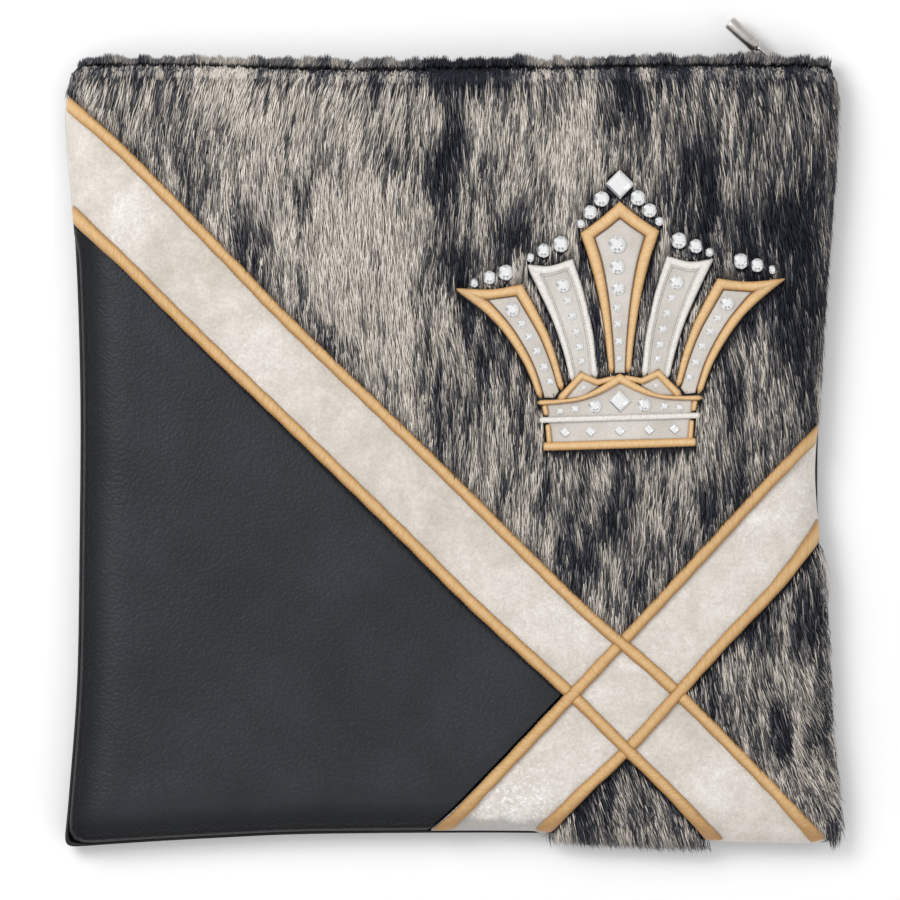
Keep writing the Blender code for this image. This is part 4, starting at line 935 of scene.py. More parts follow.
# %% Points, base and bars
STATION_STEP = 0.7
crown_pieces = []
outer_lines = []
for name, kind, side in CROWN_POINTS:
    rows = np.array(POINTS[kind], float)
    if kind == "middle":
        rows = mirrored(rows)
    inner = drawn_in(rows[:, :2], rows[:, 2])
    both = smooth_between(np.hstack((rows[:, :2], inner)), CORNERS[kind])
    flip = -1 if side < 0 else 1
    outer = crown_place(flip * both[:, 0], both[:, 1])
    inner = crown_place(flip * both[:, 2], both[:, 3])
    outer_lines.append(outer)
    skin = WHITE if kind == "near" else CROWN_GOLD
    nodes = [f"crown_{name}_edge"]
    edge = satin_row(f"crown_{name}_stitch", outer, inner, CROWN_SEAT, STITCH_HEIGHT, skin, nodes)
    eased = [drawn_in(both[:, 2:], inset, 0.8) for inset in (-0.15, 0.4)]
    lines = [crown_place(flip * line[:, 0], line[:, 1]) for line in eased]
    lift = CROWN_SEAT + CLOTH_HEIGHT + 0.15
    line_skin = WHITE if kind == "near" else BROWN
    crown_pieces.append(satin_row(f"crown_{name}_outline", *lines, lift, 0.4, line_skin, []))
    cuts = [0, 4 * 6, 8 * 6 if kind == "middle" else 6 * 6, len(inner) - 1]
    foot_point = crown_place(flip * CLOTH_FOOT[kind][0], CLOTH_FOOT[kind][1])
    left = inner[cuts[0] : cuts[1] + 1]
    head = inner[cuts[1] : cuts[2] + 1]
    right = inner[cuts[2] : cuts[3] + 1][::-1]
    foot = np.vstack((left[:1], foot_point[None], right[:1]))
    cloth = crown_cloth(f"crown_{name}_field", coons(left, right, foot, head), f"crown_{name}_cloth")
    crown_pieces += [edge, cloth]

top_line = crown_place(*smooth_table(mirrored(BASE_CLOTH), 6).T)
low_away, low_up = BASE_CLOTH_LOW
low_line = crown_place(np.array((low_away, -low_away)), np.array((low_up, low_up)))
base_sides = [np.vstack((low_line[i], top_line[-i])) for i in (0, 1)]
plan = coons(*base_sides, low_line, top_line, 18, 50)
crown_pieces.append(crown_cloth("crown_base_field", plan, "crown_base_cloth"))

rows = smooth_between(mirrored(SWAG), (4,))
sides = both_sides(rows[:, :2], rows[:, 2] / 2)
lift = CROWN_SEAT + 0.5
swag = satin_row("crown_swag_stitch", *sides, lift, STITCH_HEIGHT, CROWN_GOLD, ["crown_base_swag"])
crown_pieces.append(swag)


def straight_row(name, start, stop, width, lift, height, skin, nodes):
    """A straight satin row between two places of the crown."""
    stations = max(8, int(np.hypot(start[0] - stop[0], start[1] - stop[1]) / STATION_STEP))
    t = np.linspace(0, 1, stations)[:, None]
    line = np.array(start) + (np.array(stop) - np.array(start)) * t
    sides = both_sides(line, np.full(len(line), width / 2))
    return satin_row(name, *sides, lift, height, skin, nodes)


for side, word in ((-1, "left"), (1, "right")):
    rows = np.array(PEAK, float)
    inner = drawn_in(rows[:, :2], rows[:, 2])
    both = smooth_between(np.hstack((rows[:, :2], inner)), (1, 2))
    lines = [crown_place(side * both[:, i], both[:, i + 1]) for i in (0, 2)]
    lift = CROWN_SEAT + 0.15
    made = satin_row(f"crown_peak_{word}_stitch", *lines, lift, STITCH_HEIGHT, CROWN_GOLD, [])
    crown_pieces.append(made)
    a, b, c, low = [crown_place(side * away, up) for away, up in PEAK_CLOTH]
    beside_b = b + 0.01
    sides = [np.vstack(points) for points in ((a, b), (c, beside_b), (a, low, c), (b, beside_b))]
    plan = coons(*sides, 14, 10)
    crown_pieces.append(crown_cloth(f"crown_peak_{word}_field", plan, f"crown_peak_{word}_cloth"))
    for tag, post in (("high", POST_HIGH), ("low", POST_LOW)):
        ends = [(side * away, up) for away, up in post]
        lift = CROWN_SEAT + 0.1
        name = f"crown_post_{tag}_{word}"
        made = straight_row(name, *ends, POST_WIDTH, lift, STITCH_HEIGHT, CROWN_GOLD, [])
        crown_pieces.append(made)

for word, (half_length, up, width), lift, height, skin in (
    ("gold", LOW_BAR, CROWN_SEAT, STITCH_HEIGHT, CROWN_GOLD),
    ("white", WHITE_BAR, CROWN_SEAT + CLOTH_HEIGHT + 0.2, 1.9, WHITE),
):
    ends = (-half_length, up), (half_length, up)
    nodes = [f"crown_base_{word}_bar"]
    crown_pieces.append(straight_row(f"crown_{word}_bar", *ends, width, lift, height, skin, nodes))
print("crown pieces", len(crown_pieces))

# %% [markdown]
# Clear stones
#
# These are flat-backed glass stones with a silver foil behind them. A cut stone has a flat table, eight star
# facets, eight kites and sixteen girdle facets. The foil is a shallow faceted bowl under the glass, which
# throws the light back up, so a stone reads white; its grey sparks come partly from the cut and partly
# from a painted reflection on a few facets. One stone is worked out at radius 1, and all others are that
# array scaled and placed.

# %% Stone tables and cutting
POINT_STONES = {  # away, up, radius
    "far": (
        (49.9, 58.5, 3.2), (45.6, 51.8, 2.0), (42.1, 45.8, 2.0), (38.4, 39.0, 2.0),
        (35.2, 31.6, 2.0), (32.4, 24.8, 1.7),
    ),
    "near": (
        (26.4, 69.0, 3.3), (24.2, 61.8, 2.0), (22.1, 54.8, 2.0), (20.1, 47.4, 2.0),
        (18.7, 40.3, 1.9), (17.6, 33.8, 1.6),
    ),
    "middle": (
        (-1.2, 87.3, 4.1), (-1.1, 77.0, 3.5), (-0.7, 66.8, 3.1), (-1.1, 58.0, 2.0),
        (-1.0, 50.5, 1.9), (-0.4, 42.4, 1.9), (-0.4, 34.4, 1.5),
    ),
}
PEAK_STONE = (16.8, 21.4, 1.4)
FUR_STONES_LEFT = (
    (67.7, 71.6, 2.1), (60.6, 73.9, 3.2), (53.0, 76.0, 3.7), (41.6, 82.6, 2.1), (35.4, 85.6, 3.3),
    (27.4, 88.4, 3.8), (18.4, 97.6, 2.1), (13.9, 102.8, 3.3), (8.5, 108.8, 3.6),
)
FUR_STONES_RIGHT = (
    (70.9, 73.6, 2.1), (63.8, 75.9, 3.2), (56.2, 78.0, 3.7),
    *FUR_STONES_LEFT[3:],
)
CROWN_TOP_STONE = (0.0, 115.4, 6.9)
BASE_ROUND = ((27.8, 10.8, 1.7), (20.8, 11.7, 1.9), (11.4, 12.6, 3.1))
BASE_SQUARE = ((0.0, 14.6, 5.2), (25.4, 0.9, 2.6), (13.6, 0.9, 2.6), (0.0, 0.9, 2.6))


def ring(radius, height, count, turn):
    """So many points round a circle at one height."""
    angle = turn + np.arange(count) * 2 * math.pi / count
    return np.stack((radius * np.cos(angle), radius * np.sin(angle), np.full(count, height)), 1)


def fan(apex, first, count):
    """Triangles from one point to a ring."""
    i = np.arange(count)
    return np.stack((np.full(count, apex), first + i, first + (i + 1) % count), 1)


def band_faces(low, high, count):
    """Quads between two rings of equal count."""
    i = np.arange(count)
    k = (i + 1) % count
    return np.stack((low + i, low + k, high + k, high + i), 1)


def round_cut():
    """A round stone of radius 1: its points, and the groups of faces of its glass and of its foil."""
    e = math.pi / 8
    points = np.vstack(
        (
            ring(0.5, 0.52, 8, 0),
            ring(0.78, 0.36, 8, e),
            ring(1.0, 0.16, 16, 0),
            ring(1.0, 0.02, 16, 0),
            [[0, 0, 0.02]],
            ring(0.93, 0.12, 8, e),
            ring(0.45, 0.045, 8, 0),
            [[0, 0, 0.03]],
        )
    )
    i = np.arange(8)
    k = (i + 1) % 8
    star = np.stack((i, 8 + i, k), 1)
    kite = np.stack((k, 8 + i, 16 + (2 * i + 2) % 16, 8 + k), 1)
    half_a = np.stack((8 + i, 16 + 2 * i, 16 + (2 * i + 1) % 16), 1)
    half_b = np.stack((8 + i, 16 + (2 * i + 1) % 16, 16 + (2 * i + 2) % 16), 1)
    girdle = band_faces(32, 16, 16)
    back = fan(48, 32, 16)[:, ::-1]
    table = np.stack((np.zeros(6, int), np.arange(1, 7), np.arange(2, 8)), 1)
    glass = [np.vstack((star, half_a, half_b, back, table)), np.vstack((kite, girdle))]
    bowl = [np.stack(corners, 1) for corners in ((49 + i, 57 + k, 49 + k), (49 + i, 57 + i, 57 + k))]
    return points, glass, [np.vstack((*bowl, fan(65, 57, 8)))]


def square_cut():
    """A square stone on one corner, of radius 1 to its corners: a table, steps and a girdle, over a foil
    bowl."""
    e = math.pi / 4
    points = np.vstack(
        (
            ring(0.52, 0.42, 4, 0),
            ring(0.8, 0.32, 4, 0),
            ring(1.0, 0.14, 4, 0),
            ring(1.0, 0.02, 4, 0),
            ring(0.92, 0.1, 4, 0),
            ring(0.5, 0.05, 4, e),
            [[0, 0, 0.03]],
        )
    )
    i = np.arange(4)
    k = (i + 1) % 4
    steps = [band_faces(low, low - 4, 4) for low in (4, 8, 12)]
    steps.append(np.array([[0, 1, 2, 3], [15, 14, 13, 12]]))
    glass = [np.empty((0, 3), int), np.vstack(steps)]
    bowl = [np.stack(corners, 1) for corners in ((16 + i, 20 + i, 16 + k), (20 + i, 20 + k, 16 + k))]
    return points, glass, [np.vstack((*bowl, fan(24, 20, 4)))]


def set_stones(name, cut, places, lift, nodes=()):
    """Places copies of a cut stone: places are plan x, y and radius. Each lies in the front's own tangent
    plane."""
    template, glass, foil = cut
    places = np.array(places, float)
    ground, normal = on_front(places[:, :2])
    side = np.cross(np.array((0.0, 1.0, 0.0)), normal)
    side /= np.linalg.norm(side, axis=1)[:, None]
    ahead = np.cross(normal, side)
    scaled = template[None] * places[:, 2][:, None, None]
    points = ground[:, None] + normal[:, None] * lift
    for axis, way in enumerate((side, ahead, normal)):
        points = points + scaled[..., axis : axis + 1] * way[:, None]
    offset = (np.arange(len(places)) * len(template))[:, None, None]
    groups = [(offset + g[None]).reshape(-1, g.shape[1]) for g in (*glass, *foil)]
    made = put(name, points, groups, CRYSTAL, smooth=False)
    made.data.materials.append(FOIL)
    count = [len(g) for g in groups]
    kinds = np.concatenate((np.zeros(sum(count[: len(glass)])), np.ones(sum(count[len(glass) :]))))
    made.data.polygons.foreach_set("material_index", kinds.astype(np.int32))
    made.data.update()
    if nodes:
        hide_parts(*nodes)
    return made


def flat_places(rows, sides):
    """Plan x, y and radius of a table's stones on the given sides."""
    found = []
    for away, up, radius in rows:
        for side in sides:
            found.append((*crown_place(side * away, up), radius))
    return found


on_cloth = flat_places(POINT_STONES["middle"], (1,))
for kind in ("far", "near"):
    on_cloth += flat_places(POINT_STONES[kind], (-1, 1))
on_cloth += flat_places(BASE_ROUND, (-1, 1)) + flat_places([PEAK_STONE], (-1, 1))
squares = flat_places(BASE_SQUARE[:1] + BASE_SQUARE[3:], (1,)) + flat_places(BASE_SQUARE[1:3], (-1, 1))
on_fur = flat_places(FUR_STONES_LEFT, (-1,)) + flat_places(FUR_STONES_RIGHT, (1,))
fur_nodes = [f"stone_{number:02d}" for number in range(2, 20)]
seat = CROWN_SEAT + CLOTH_HEIGHT + 0.2
top_stone = flat_places([CROWN_TOP_STONE], (1,))
stones = [
    set_stones("crown_round_stones", round_cut(), on_cloth, seat),
    set_stones("crown_square_stones", square_cut(), squares, seat),
    set_stones("fur_round_stones", round_cut(), on_fur, CROWN_SEAT + 1.4, fur_nodes),
    set_stones("crown_top_square_stone", square_cut(), top_stone, CROWN_SEAT + 1.0, ["stone_01"]),
]
print("stones", len(on_cloth) + len(squares) + len(on_fur) + 1)

# %% [markdown]
# The hide under the fur
#
# Fur is hair on a skin. The skin is built first, as plain surfaces that fill each fur panel: lines leave a
# spine inside the panel both ways until they meet a row of stitching or the seam. It is nearly black, as the
# roots of this fur are, so that the partings between locks read dark.

# %% Hide surfaces
def between(long_row, above, short_row, right):
    """A border by rows: millimetres past the two that bound a fur panel, negative inside it. above and right
    are 1 or -1, the side of each row that the panel lies on."""

    def past(plan):
        return PANEL_EDGE - np.minimum(above * beyond(long_row, plan), right * beyond(short_row, plan))

    return past


def bordered(rows):
    """A border that is positive past the rows or the outline."""
    return lambda plan: np.maximum(past_outline(plan), rows(plan))


rows_main = between("long_upper", 1, "short_upper", -1)
rows_right = between("long_upper", 1, "short_lower", 1)
rows_bottom = between("long_lower", -1, "short_lower", 1)
in_main, in_right, in_bottom = bordered(rows_main), bordered(rows_right), bordered(rows_bottom)
ACROSS = 400.0  # past the far side of the bag from anywhere in it


def hide(name, spine, ahead, border, node_name, count):
    """A surface of lines that cross a spine in the direction ahead, to the panel's border both ways."""
    ahead = np.array(ahead, float)

    def line(way):
        return spine + way[:, None] * ahead

    none = np.zeros(len(spine))
    first = meet(line, none, none - ACROSS, border)
    last = meet(line, none, none + ACROSS, border)
    t = end_spread(count, 0.8)[:, None]
    plan = np.stack([line(way) for way in first + (last - first) * t])
    made = put(name, lifted(plan, HIDE), [grid_faces(count, len(spine))], HIDE_SKIN)
    face_up(made)
    wall(made, HIDE - 0.2)
    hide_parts(node_name)
    return made


def straight_spine(start, stop, count, border):
    """Points crowded towards both ends of a straight line, pulled in to lie inside a border."""
    start, stop = np.array(start, float), np.array(stop, float)
    middle = (start + stop) / 2
    ends = []
    for end in (start, stop):
        share = meet(lambda t: middle + (end - middle) * t, np.array(0.0), np.array(1.0), border)
        ends.append(middle + (end - middle) * (share - 0.002))
    return ends[0] + (ends[1] - ends[0]) * end_spread(count, 0.8)[:, None]


hides = []
for name, start, stop, stations, ahead, border, count in (
    ("main", (-184, 168), (184, 168), 120, (0, 1), in_main, 110),
    ("right", (167, -25), (167, -184), 60, (1, 0), in_right, 60),
    ("bottom", (30, -170), (130, -170), 60, (0, 1), in_bottom, 60),
):
    spine = straight_spine(start, stop, stations, border)
    hides.append(hide(f"fur_hide_{name}", spine, ahead, border, f"fur_panel_{name}", count))
print("hides", len(hides))

# %% [markdown]
# Fur, hair by hair
#
# The fur is straight hair, about two centimetres long, that lies down the bag. Each hair is beige or nearly
# black, in soft patches as wide as a thumb. A particle system would do it, but plain meshes keep its shape
# anywhere, so each hair is a thin spindle of six triangles, bent once. Everything about all hairs is an
# array: root, heading, length, height and tone.
#
# The patches come from a short table, plus smooth noise stretched along the hair.
# A hair is cut short where it would run onto the stitching or a stone.

# %% Tone of the fur
LIGHT_PATCHES = (  # x, y, half width, half height, lightness
    (-91, 159, 30, 22, 0.34), (-52, 117, 24, 34, 0.34), (-95, 112, 24, 20, 0.22),
    (-152, 165, 18, 14, 0.0), (-126, 145, 12, 16, -0.14), (-140, 150, 9, 10, 0.10),
    (-95, 140, 7, 10, -0.28), (-59, 177, 5, 8, -0.45), (-20, 154, 6, 10, -0.16),
    (-11, 157, 6, 11, 0.24), (9, 174, 20, 9, -0.50), (2, 143, 8, 18, -0.42),
    (-8, 124, 9, 10, -0.22), (29, 138, 10, 18, 0.26), (54, 127, 8, 15, 0.20),
    (44, 160, 8, 12, -0.10), (25, 100, 8, 12, -0.42), (1, 84, 8, 15, -0.34), (12, 108, 7, 13, 0.14),
    (-20, 106, 13, 20, 0.26), (-29, 136, 6, 12, -0.16), (-67, 122, 5, 13, -0.22),
    (-87, 101, 6, 9, -0.34), (-62, 88, 9, 16, 0.14), (-46, 66, 16, 26, 0.22),
    (-24, 55, 13, 22, 0.16), (12, 44, 11, 26, -0.20), (-10, 20, 12, 18, 0.06),
    (85, 163, 20, 14, -0.16), (104, 130, 14, 26, -0.12), (120, 112, 12, 14, -0.20),
    (55, 155, 12, 20, 0.12), (-2, 60, 16, 26, 0.16), (150, 120, 26, 44, -0.24),
    (160, 50, 18, 40, -0.24), (110, -20, 30, 22, -0.14), (60, -15, 30, 16, 0.06),
    (70, -50, 20, 18, -0.14), (140, -120, 22, 30, -0.04), (150, -105, 10, 14, 0.10),
    (72, -31, 26, 18, -0.16), (51, 150, 14, 18, 0.10),
)


def value_noise(plan, wide, tall, seed):
    """Smooth noise from -1 to 1: random numbers on a lattice of wide by tall cells, blended smoothly."""
    lattice = np.random.default_rng(seed).uniform(-1, 1, (96, 96))
    u, v = plan[..., 0] / wide, plan[..., 1] / tall
    i, j = np.floor(u).astype(int), np.floor(v).astype(int)
    a, b = smooth_step(u - i), smooth_step(v - j)
    i0, i1, j0, j1 = i % 96, (i + 1) % 96, j % 96, (j + 1) % 96
    low = lattice[i0, j0] * (1 - a) + lattice[i1, j0] * a
    high = lattice[i0, j1] * (1 - a) + lattice[i1, j1] * a
    return low * (1 - b) + high * b


def lightness(plan):
    """Share of light hairs at plan points, whose patches waver sideways."""
    plan = plan + 2.0 * value_noise(plan, 13.0, 20.0, 61)[..., None] * (1.0, 0.0)
    share = np.full(plan.shape[:-1], 0.56)
    for x, y, half_x, half_y, more in LIGHT_PATCHES:
        share += more * np.exp(-(((plan[..., 0] - x) / half_x) ** 2) - ((plan[..., 1] - y) / half_y) ** 2)
    share += 0.19 * value_noise(plan, 11.0, 26.0, 3) + 0.15 * value_noise(plan, 5.0, 17.0, 4)
    share -= 0.1 * smooth_step((plan[..., 1] - 164) / 14)
    return 0.53 + 1.2 * (share - 0.53)


def heading(plan):
    """Which way hair lies, in radians. It hangs straight down, with slow drifts. Under the top edge it parts
    to both sides of x = 10, and lower down it fans to the right."""
    x, y = plan[..., 0], plan[..., 1]
    under_top = smooth_step((y - 120) / 60)
    parting = 13.0 * np.tanh((x - 10) / 35) - 3.0
    lean = parting * under_top + 15.0 * smooth_step((-y - 30) / 130) * smooth_step((x + 40) / 120)
    lean += 4.0 * smooth_step((x - 60) / 100) + 8.0 * value_noise(plan, 34.0, 50.0, 8)
    return np.radians(-90.0 + lean)


def ahead_of(angle):
    """Unit plan vectors of angles."""
    return np.stack((np.cos(angle), np.sin(angle)), 1)


# %% Where hair may lie
HIDDEN_ROOT = 1.8
UNDER_CROWN = 1.3
SHORTEST = 2.2
BEND_AT = 0.42  # share of a hair's length before its bend
ROOT_DEPTH = 0.2


def inside(loop, points):
    """Even-odd test of points against a closed loop."""
    x, y = points[:, 0], points[:, 1]
    x0, y0 = loop[:, 0][:, None], loop[:, 1][:, None]
    x1, y1 = np.roll(loop[:, 0], -1)[:, None], np.roll(loop[:, 1], -1)[:, None]
    crosses = ((y0 > y) != (y1 > y)) & (x < x0 + (y - y0) * (x1 - x0) / np.where(y1 == y0, 1, y1 - y0))
    return crosses.sum(0) % 2 == 1


BASE_SEAT = (  # away, up: the right half of the base's outer line
    (0, 27.4), (8.0, 26.2), (18.3, 29.2), (31.0, 18.4), (38.2, 17.4), (38.2, 14.0), (36.0, 13.2),
    (35.0, -3.4), (35.9, -3.5), (35.9, -7.3), (0, -7.3),
)
half = np.array(BASE_SEAT)
seats = [crown_place(*np.vstack((half[:-1], half[:0:-1] * (-1, 1))).T)]
seats += [line[::3] for line in outer_lines]
for x, y, radius in on_fur + top_stone:
    seats.append(np.array((x, y)) + ring(radius * 0.96, 0, 10, 0)[:, :2])
crown_low = np.min([s.min(0) for s in seats], axis=0)
crown_high = np.max([s.max(0) for s in seats], axis=0)


def on_crown(plan):
    """Which plan points lie on a piece of the crown or a stone."""
    hit = np.zeros(len(plan), bool)
    near = np.flatnonzero(np.all((plan > crown_low) & (plan < crown_high), axis=1))
    for loop in seats:
        hit[near] |= inside(loop, plan[near])
    return hit


def roots(rows, low, high, spacing):
    """Hair roots on a jittered lattice. A root may lie under a row or the crown's edge where its hair comes
    out from below it within HIDDEN_ROOT or UNDER_CROWN."""
    x, y = np.meshgrid(np.arange(low[0], high[0], spacing), np.arange(low[1], high[1], spacing))
    plan = np.stack((x.ravel(), y.ravel()), 1) + rng.uniform(-0.5, 0.5, (x.size, 2)) * spacing
    plan = plan[past_outline(plan) < -0.002]
    plan = plan[rows(plan) < HIDDEN_ROOT]
    plan = plan[rows(plan + HIDDEN_ROOT * ahead_of(heading(plan))) < 0]
    return plan[~on_crown(plan + UNDER_CROWN * ahead_of(heading(plan)))]


def spindles(name, path, widths, tones, normals, root_shade=0.45):
    """Closed spindles on three-point paths: a root, a ring of three points at the bend, and a tip, six
    triangles in all. The ring is two points beside the path and one above it."""
    count = len(path)
    forward = path[:, 2] - path[:, 0]
    forward /= np.linalg.norm(forward, axis=1)[:, None]
    side = np.cross(forward, normals)
    side /= np.linalg.norm(side, axis=1)[:, None]
    up = np.cross(side, forward)
    half = (widths / 2)[:, None]
    root, bend, tip = path[:, 0], path[:, 1], path[:, 2]
    points = np.stack((root, bend - side * half, bend + side * half, bend + up * half * 1.2, tip), 1)
    pattern = np.array(((0, 2, 1), (0, 3, 2), (0, 1, 3), (4, 1, 2), (4, 2, 3), (4, 3, 1)))
    faces = (np.arange(count)[:, None, None] * 5 + pattern[None]).reshape(-1, 3)
    a, b, c = [points.reshape(-1, 3)[faces[:, i]] for i in range(3)]
    if np.einsum("ij,ij->", a, np.cross(b, c)) < 0:
        faces = faces[:, ::-1]
    # Painted shade: each root's tone is scaled down by the given share, as low in the coat; each tip is drawn
    # a little lighter.
    tone = np.stack((tones * root_shade, tones, tones, tones, tones * 1.06), 1)
    return put(name, points, [faces], HAIR, values=tone)


def hair_tones(centre, more=0.0):
    """Tone of each hair. The share of light hairs, streaked along them, decides which are light, and hairs of
    a dark patch are darker whichever they are."""
    wavy = centre + (value_noise(centre, 9.0, 12.0, 62) - centre[:, 1] / 14)[:, None] * (1.0, 0.0)
    share = more + lightness(centre) + 0.26 * value_noise(wavy, 1.8, 15.0, 31)
    ground = smooth_step(share)
    light = smooth_step((share - rng.uniform(0, 1, len(centre))) / 0.5 + 0.5)
    tone = light * (0.38 + 0.62 * ground) + (1 - light) * 0.42 * ground
    return 0.13 + 0.84 * tone + rng.normal(0, 0.06, len(centre))


def grow(name, plan, rows, length, tall, thick, pieces=1, root_shade=0.45, more=0.0):
    """Hair on plan roots. It rises up to BEND_AT of its length and then lies down. Where a later part of it
    would be on the crown, over a row of stitching or hanging far past the outline, it is cut short."""
    count = len(plan)
    lengths = length * rng.uniform(0.7, 1.2, count)
    angle = heading(plan) + rng.normal(0, 0.055, count) + 0.11 * value_noise(plan, 6.0, 12.0, 21)
    bend = rng.normal(0, 0.08, count)
    ahead, later = ahead_of(angle), ahead_of(angle + bend)
    reach = np.ones(count)
    over_row = rng.uniform(0.3, 1.8, count)
    for share in np.arange(1.0, 0.05, -0.1):
        at = plan + lengths[:, None] * share * ahead
        hang = 0.03 + 0.05 * smooth_step((-25 - at[:, 1]) / 30) + 0.09 * smooth_step((-170 - at[:, 1]) / 8)
        stopped = on_crown(at) | (rows(at) > over_row) | (past_outline(at) > hang)
        stopped &= share * lengths > SHORTEST
        reach = np.where(stopped, share - 0.04, reach)
    keep = reach > 0.08
    plan, lengths, ahead, later, reach = [v[keep] for v in (plan, lengths, ahead, later, reach)]
    lengths = lengths * reach
    middle = plan + BEND_AT * lengths[:, None] * ahead
    level = np.clip(rim(middle[:, 0], middle[:, 1]), 0, 1)
    pressed = 1 - 0.8 * level**3 * (1 - smooth_step((-25 - middle[:, 1]) / 30))
    high = tall * pressed * rng.uniform(0.45, 1.15, len(plan)) * np.clip(0.45 + reach, 0, 1)
    tip = middle + (1 - BEND_AT) * lengths[:, None] * later
    stations = np.stack((plan, middle, tip), 1)
    lift = HIDE + np.stack((0 * high - ROOT_DEPTH, high, high * rng.uniform(0.6, 1.05, len(high))), 1)
    path = lifted(stations, lift)
    normals = on_front(middle)[1]
    centre = plan + 0.5 * lengths[:, None] * ahead
    tones = hair_tones(centre, more)
    widths = thick * rng.uniform(0.7, 1.35, len(plan))
    made = []
    for number in range(pieces):
        part = slice(number, None, pieces)
        tag = f"{name}_{number + 1}" if pieces > 1 else name
        made.append(spindles(tag, path[part], widths[part], tones[part], normals[part], root_shade))
    return made


# %% Hair on the three panels
FIELDS = (  # name, rows, corners of its lattice, share of the long hair's length
    ("main", rows_main, (-180, -97), (181, 180), 1.0),
    ("right", rows_right, (98, -184), (181, -23), 0.9),
    ("bottom", rows_bottom, (28, -184), (132, -98), 0.85),
)
SPACING, UNDER_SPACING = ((1.0, 1.4))
furs = []
for name, rows, low, high, share in FIELDS:
    under = roots(rows, low, high, UNDER_SPACING)
    parts = 2 if name == "main" else 1
    furs += grow(f"fur_under_{name}", under, rows, 8.5, 2.0, 0.62, parts, 0.7, -0.14)
    top = roots(rows, low, high, SPACING)
    parts = 4 if name == "main" else 1
    furs += grow(f"fur_hair_{name}", top, rows, 20.0 * share, 3.2, 0.52, parts)
print("hairs", sum(len(made.data.vertices) for made in furs) // 5)

# %% [markdown]
# The back, a shallow leather dish
#
# The back is one black leather sheet with a flat floor and rolled edges that stand a millimetre outside the
# front. It is a grid in polar style: around the outline, and in from the rim. Both faces and the rim are
# one closed surface.

# %% Back surface
FLOOR_LEVEL = 0.3  # where the floor ends and the edge begins to rise
BACK_SHEET = 1.5


def outline(level, margin, side_round, head_round, power, per_side, per_corner):
    """A closed level line round the dish. Corners are superellipse arcs and sides follow the edge tables."""
    turns = np.radians(np.linspace(0, 90, per_corner + 1))
    loop = []
    for number, (sx, sy) in enumerate(((-1, -1), (1, -1), (1, 1), (-1, 1))):
        order = turns if number % 2 == 0 else turns[::-1]
        in_x = margin + side_round * (1 - level * np.cos(order) ** (2 / power))
        in_y = margin + (head_round if sy > 0 else side_round) * (1 - level * np.sin(order) ** (2 / power))
        x, y = np.full(len(order), sx * 170.0), np.full(len(order), sy * 170.0)
        for _ in range(8):
            x = left_edge(y) + in_x if sx < 0 else right_edge(y) - in_x
            y = bottom_edge(x) + in_y if sy < 0 else top_edge(x) - in_y
        loop.append(np.stack((x, y), 1))
    sides = []
    for number in range(4):
        start, stop = loop[number][-1], loop[(number + 1) % 4][0]
        share = end_spread(per_side + 1, 0.7)[1:-1]
        x, y = start[0] + (stop[0] - start[0]) * share, start[1] + (stop[1] - start[1]) * share
        flat_in = margin + side_round * (1 - level)
        if number == 0:
            y = bottom_edge(x) + flat_in
        elif number == 1:
            x = right_edge(y) - flat_in
        elif number == 2:
            y = top_edge(x) - margin - head_round * (1 - level)
        else:
            x = left_edge(y) + flat_in
        sides += [loop[number], np.stack((x, y), 1)]
    return np.vstack(sides)


def seam_low(x, y):
    """Height of the back's rim, which is lower under the zip."""
    return SEAM_HEIGHT - (SEAM_HEIGHT - ZIP_LOW) * zip_opening(x, y)


levels = np.sin(np.linspace(math.asin(FLOOR_LEVEL), math.pi / 2, 16))
rings = []
for margin, order in ((0.0, levels), (BACK_SHEET, levels[::-1])):
    for level in order:
        plan = outline(level, margin, *BACK_RIM, per_side=70, per_corner=10)
        turned_up = (level - FLOOR_LEVEL) / 0.7
        climb = 1 - math.sqrt(max(0.0, 1 - turned_up**2))
        z = margin + (seam_low(plan[:, 0], plan[:, 1]) - margin) * climb
        rings.append(np.column_stack((plan, z)))
points = np.stack(rings)
count = points.shape[1]
centres = np.array([[0.0, 0.0, 0.0], [0.0, 0.0, BACK_SHEET]])
last = len(points) - 1
flat = points.reshape(-1, 3)
caps = [fan(len(flat), 0, count), fan(len(flat) + 1, last * count, count)[:, ::-1]]
faces = [grid_faces(len(points), count, True), *caps]
back = put("back_leather", np.vstack((flat, centres)), faces, BACK_LEATHER)
turn_out(back)
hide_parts("back_panel")
print("back points", len(flat))

# %% [markdown]
# The zip
#
# A coil zip is two woven tapes with a nylon spiral sewn to each edge, closed by a slider. It shows along the
# top side wall. The spiral's turns are small humps a millimetre and a half apart, so the coil is one strip
# whose height rises and falls along it. Above it the fur folds over the edge, with hair that stands up and
# makes the fringe seen from the front.

# %% Tapes, coil and the fur facing
def wall_place(x, share, out):
    """Points on the zip's side wall: x along it, share of its height, and distance out from the top edge."""
    x, share, out = np.broadcast_arrays(np.asarray(x, float), share, out)
    y = top_edge(x)
    high = SEAM_HEIGHT + GAP + (ZIP_HIGH - SEAM_HEIGHT) * zip_opening(x, y)
    low = seam_low(x, y)
    return np.stack((x, y + out, low + share * (high - low)), -1)


WALL_LEFT = -160.5
WALL_RIGHT = 164.5
COIL_PITCH = 1.5


